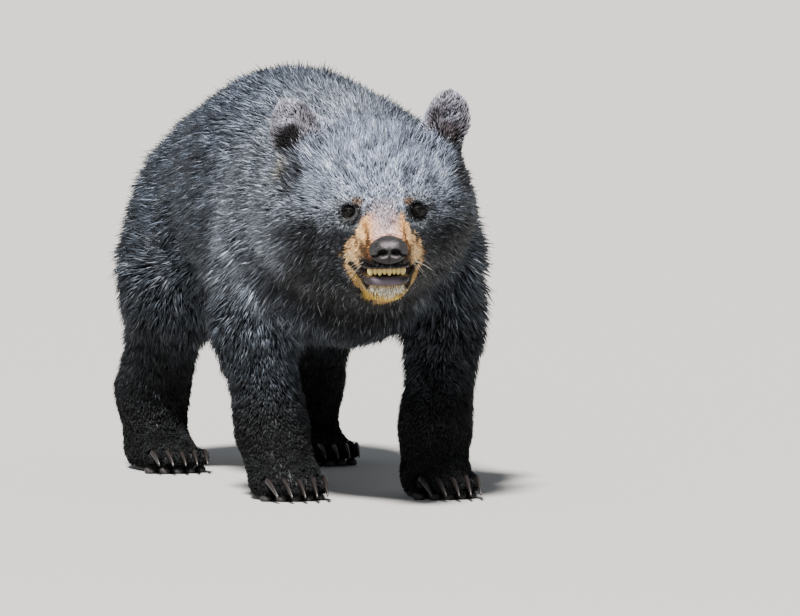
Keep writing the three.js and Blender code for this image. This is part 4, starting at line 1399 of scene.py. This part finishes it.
def lock_spines(place, normal, lie, random):
    """The tip and the middle of the widest place of each lock. Tips lie under the outline of
    the coat by up to a third of its depth, and a few stand out of it."""
    count = len(place)
    depth = np.maximum(-coat_outline(place), 0.002)
    in_ear_now = in_ear_hollow(in_head(place))
    rise = random.uniform(0.66, 1.02, count) + 0.09 * wobble(place, 0.028, 13)
    rise += 0.20 * (random.random(count) < STRAYS) + 0.9 * in_ear_now * random.random(count)
    reach = depth * random.uniform(0.60, 1.25, count) + 0.0030 + 0.006 * in_ear_now
    tip = place + lie * reach[:, None] + normal * (depth * rise)[:, None]
    for _ in range(2):
        over = coat_outline(tip) + depth * (1 - rise)
        tip -= normal * np.clip(over, -0.4 * depth, 0.6 * depth)[:, None]
    leader = leaders_of(place, random)
    tip += random.uniform(0.0, 0.38, count)[:, None] * (tip[leader] - tip)
    climb = np.einsum("ij,ij->i", tip - place, normal)
    along = tip - place - climb[:, None] * normal
    middle = place + along * WIDEST ** 1.5 + normal * (climb * WIDEST ** 0.75)[:, None]
    return tip, middle


def on_chin(head):
    """Where short dark bristles stand among the white ones."""
    low = (head[:, 2] > -0.092) & (head[:, 2] < -0.074)
    return low & (head[:, 1] < -0.045) & (np.abs(head[:, 0]) < 0.027)


def lock_tints(place, random):
    """The colours of each lock's five points: single locks differ in shade, a few in the black carry
    a painted silvery glint, and whole clumps are a little paler or darker than others."""
    count, head = len(place), in_head(place)
    root_tint, tip_tint = markings(place)
    tan = root_tint[:, 0] > 0.05
    even = tan | (np.max([on_ear(in_ear(head, ear)) for ear in EARS], axis=0) > 0.5)
    shade = np.exp(random.normal(0, np.where(even, 0.34, 0.75), count))
    root_tint = root_tint * np.clip(shade, 0.5, 1.3)[:, None]
    # Painted glints: a few black locks, more of them higher up, get a light silvery tip.
    glint = ramp(random.random(count), 0.83, 0.98) * ramp(place[:, 2], 0.12, 0.30)
    tip_tint = tip_tint * np.clip(shade, 0.15, np.where(tan, 1.25, 2.8))[:, None]
    tip_tint = mixed(tip_tint, GLINT_TIP, np.where(even, 0, 0.75 * glint))
    uneven = wobble(place, 0.030, 14) + 0.7 * wobble(place, 0.011, 15)
    clump = np.clip(1 + np.where(tan, 0.12, 0.32) * uneven, 0.25, 1.9)
    tip_tint = np.minimum(tip_tint * clump[:, None], 0.95)
    tip_tint[on_chin(head) & (random.random(count) < 0.30)] = BARE_DARK
    middle_tint = mixed(root_tint, tip_tint, np.full(count, MIDDLE_TINT))
    return np.stack((root_tint, middle_tint, middle_tint, middle_tint, tip_tint), axis=1)


def locks(random):
    """Every lock: its root, its five points, their colours and their spots on the bake map."""
    place, normal, lie, spot = spread_roots(random)
    keep = grows_hair(place, normal)
    place, normal, lie, spot = place[keep], normal[keep], lie[keep], spot[keep]
    count = len(place)
    swing = 0.22 * wobble(place, 0.09, 11) + 0.20 * wobble(place, 0.022, 12)
    lie, across = swung(lie, normal, swing + random.normal(0, 0.24, count))
    tip, middle = lock_spines(place, normal, lie, random)
    half = 0.40 * spacing_at(place) * random.uniform(0.65, 1.25, count) / math.sqrt(QUICK_SHARE)
    half = half[:, None]
    root = place - normal * ROOT_DEPTH
    points = np.stack((root, middle + across * half, middle - across * half,
                       middle + normal * half * 0.9, tip), axis=1)
    points[:, :, 2] = np.maximum(points[:, :, 2], LOWEST_HAIR)
    patch = np.array(((0, -1), (0.8, 0.2), (-0.8, 0.2), (0, 0.35), (0, 1))) * PATCH
    return place, points, lock_tints(place, random), spot[:, None] + patch[None]


LOCK_FACES = np.array(((2, 1, 0), (3, 2, 0), (1, 3, 0), (1, 2, 4), (2, 3, 4), (3, 1, 4)))
LEG_TOP = 0.25


def coat_area(place):
    """Which piece of the coat each root belongs to."""
    head, clay = in_head(place), place - CLAY_SHIFT
    hand = np.where(place[:, 0] > 0, "left", "right")
    area = np.where(clay[:, 1] < 0.16, "shoulder_", np.where(clay[:, 1] < 0.40, "flank_", "rump_"))
    area = np.char.add(area, hand)
    leg = np.char.add(np.where(clay[:, 1] < 0.30, "foreleg_", "hindleg_"), hand)
    area = np.where(place[:, 2] < LEG_TOP, leg, area)
    before_shoulder = (clay - (-0.014, -0.022, 0.430)) @ (0.12, 1, -0.45) < 0
    neck = np.char.add("neck_", np.where(clay[:, 0] > -0.03, "left", "right"))
    area = np.where(before_shoulder & (place[:, 2] > LEG_TOP), neck, area)
    near = np.linalg.norm(head - SKULL_MIDDLE, axis=1) < 0.168
    crown = np.char.add("head_", np.where(head[:, 0] > 0, "left", "right"))
    return np.where(near, np.where(head[:, 1] < 0.025, "face", crown), area)


def coat_material():
    """Bear hair: a soft gloss and a slightly uneven tone along each lock. The colours, painted sheen
    and shade among them, ride on the locks themselves."""
    material, tree = start_material("bear hair")
    place = add_node(tree, "TexCoord").outputs["Object"]
    colour = add_node(tree, "Attribute", {"attribute_name": "hair_colour"}).outputs["Color"]
    strands = add_node(tree, "TexNoise", {"Scale": 1 / 0.002, "Detail": 2}, {"Vector": place})
    tone = add_node(tree, "MapRange", {"To Min": 0.7, "To Max": 1.3},
                    {"Value": strands.outputs["Fac"]})
    tinted = add_node(tree, "Mix", {"data_type": "RGBA", "blend_type": "MULTIPLY", "Factor": 1.0},
                      {6: colour, 7: tone.outputs["Result"]})
    finish_surface(tree, {"Roughness": 0.45, "IOR": 1.55, "Specular IOR Level": 0.12},
                   {"Base Color": tinted.outputs[2]})
    return material


HAIR = coat_material()
hair_roots, hair_points, hair_tints, hair_spots = locks(np.random.default_rng(21))
hair_areas = coat_area(hair_roots)
for area in np.unique(hair_areas):
    here = hair_areas == area
    starts = 5 * np.arange(np.count_nonzero(here))
    faces = (starts[:, None, None] + LOCK_FACES[None]).reshape(-1, 3)
    piece = mesh_object("coat_" + area, hair_points[here].reshape(-1, 3), faces)
    paint(piece, "hair_colour", hair_tints[here].reshape(-1, 3))
    bake = piece.data.uv_layers.new(name="OFBake")
    corner_spots = hair_spots[here].reshape(-1, 2)[faces.ravel()]
    bake.data.foreach_set("uv", corner_spots.astype(np.float32).ravel())
    piece.data.materials.append(HAIR)
    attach(piece, "root")

# ---- Studio: a pale seamless floor, one soft sun high in front on the bear's right, and a weak broad fill from the same side. With the sheen and shade painted on the hair's tips, they make the coat shine on top and dark below.
FLOOR_HALF, FLOOR_TOP = 600.0, -0.0004
floor_points = [(x * FLOOR_HALF, y * FLOOR_HALF, FLOOR_TOP)
                for x, y in ((-1, -1), (1, -1), (1, 1), (-1, 1))]
floor = mesh_object("studio_floor", floor_points, np.array([(0, 1, 2, 3)]))
paper, paper_tree = start_material("matt grey paper")
finish_surface(paper_tree, {"Base Color": solid("9c9a96"), "Roughness": 0.9}, {})
floor.data.materials.append(paper)


def lamp(name, kind, power, place, target, **settings):
    data = bpy.data.lights.new(name, kind)
    data.energy = power
    for key, value in settings.items():
        setattr(data, key, value)
    made = bpy.data.objects.new(name, data)
    bpy.context.scene.collection.objects.link(made)
    ahead = Vector(target) - Vector(place)
    made.rotation_euler = ahead.to_track_quat("-Z", "Y").to_euler()
    made.location = place


lamp("key_light", "SUN", 16.8, (-1.3, -2.3, 3.6), (0, 0, 0.3), angle=math.radians(8),
     color=(1.0, 0.985, 0.96))
lamp("fill_light", "AREA", 60, (-2.4, -3.8, 1.5), (0, -0.2, 0.3), shape="DISK", size=2.4,
     color=(0.92, 0.96, 1.0))
world = bpy.data.worlds.new("studio")
world.use_nodes = True
sky = world.node_tree.nodes["Background"].inputs
sky["Color"].default_value = solid("dfe6f0")
sky["Strength"].default_value = 0.48
bpy.context.scene.world = world
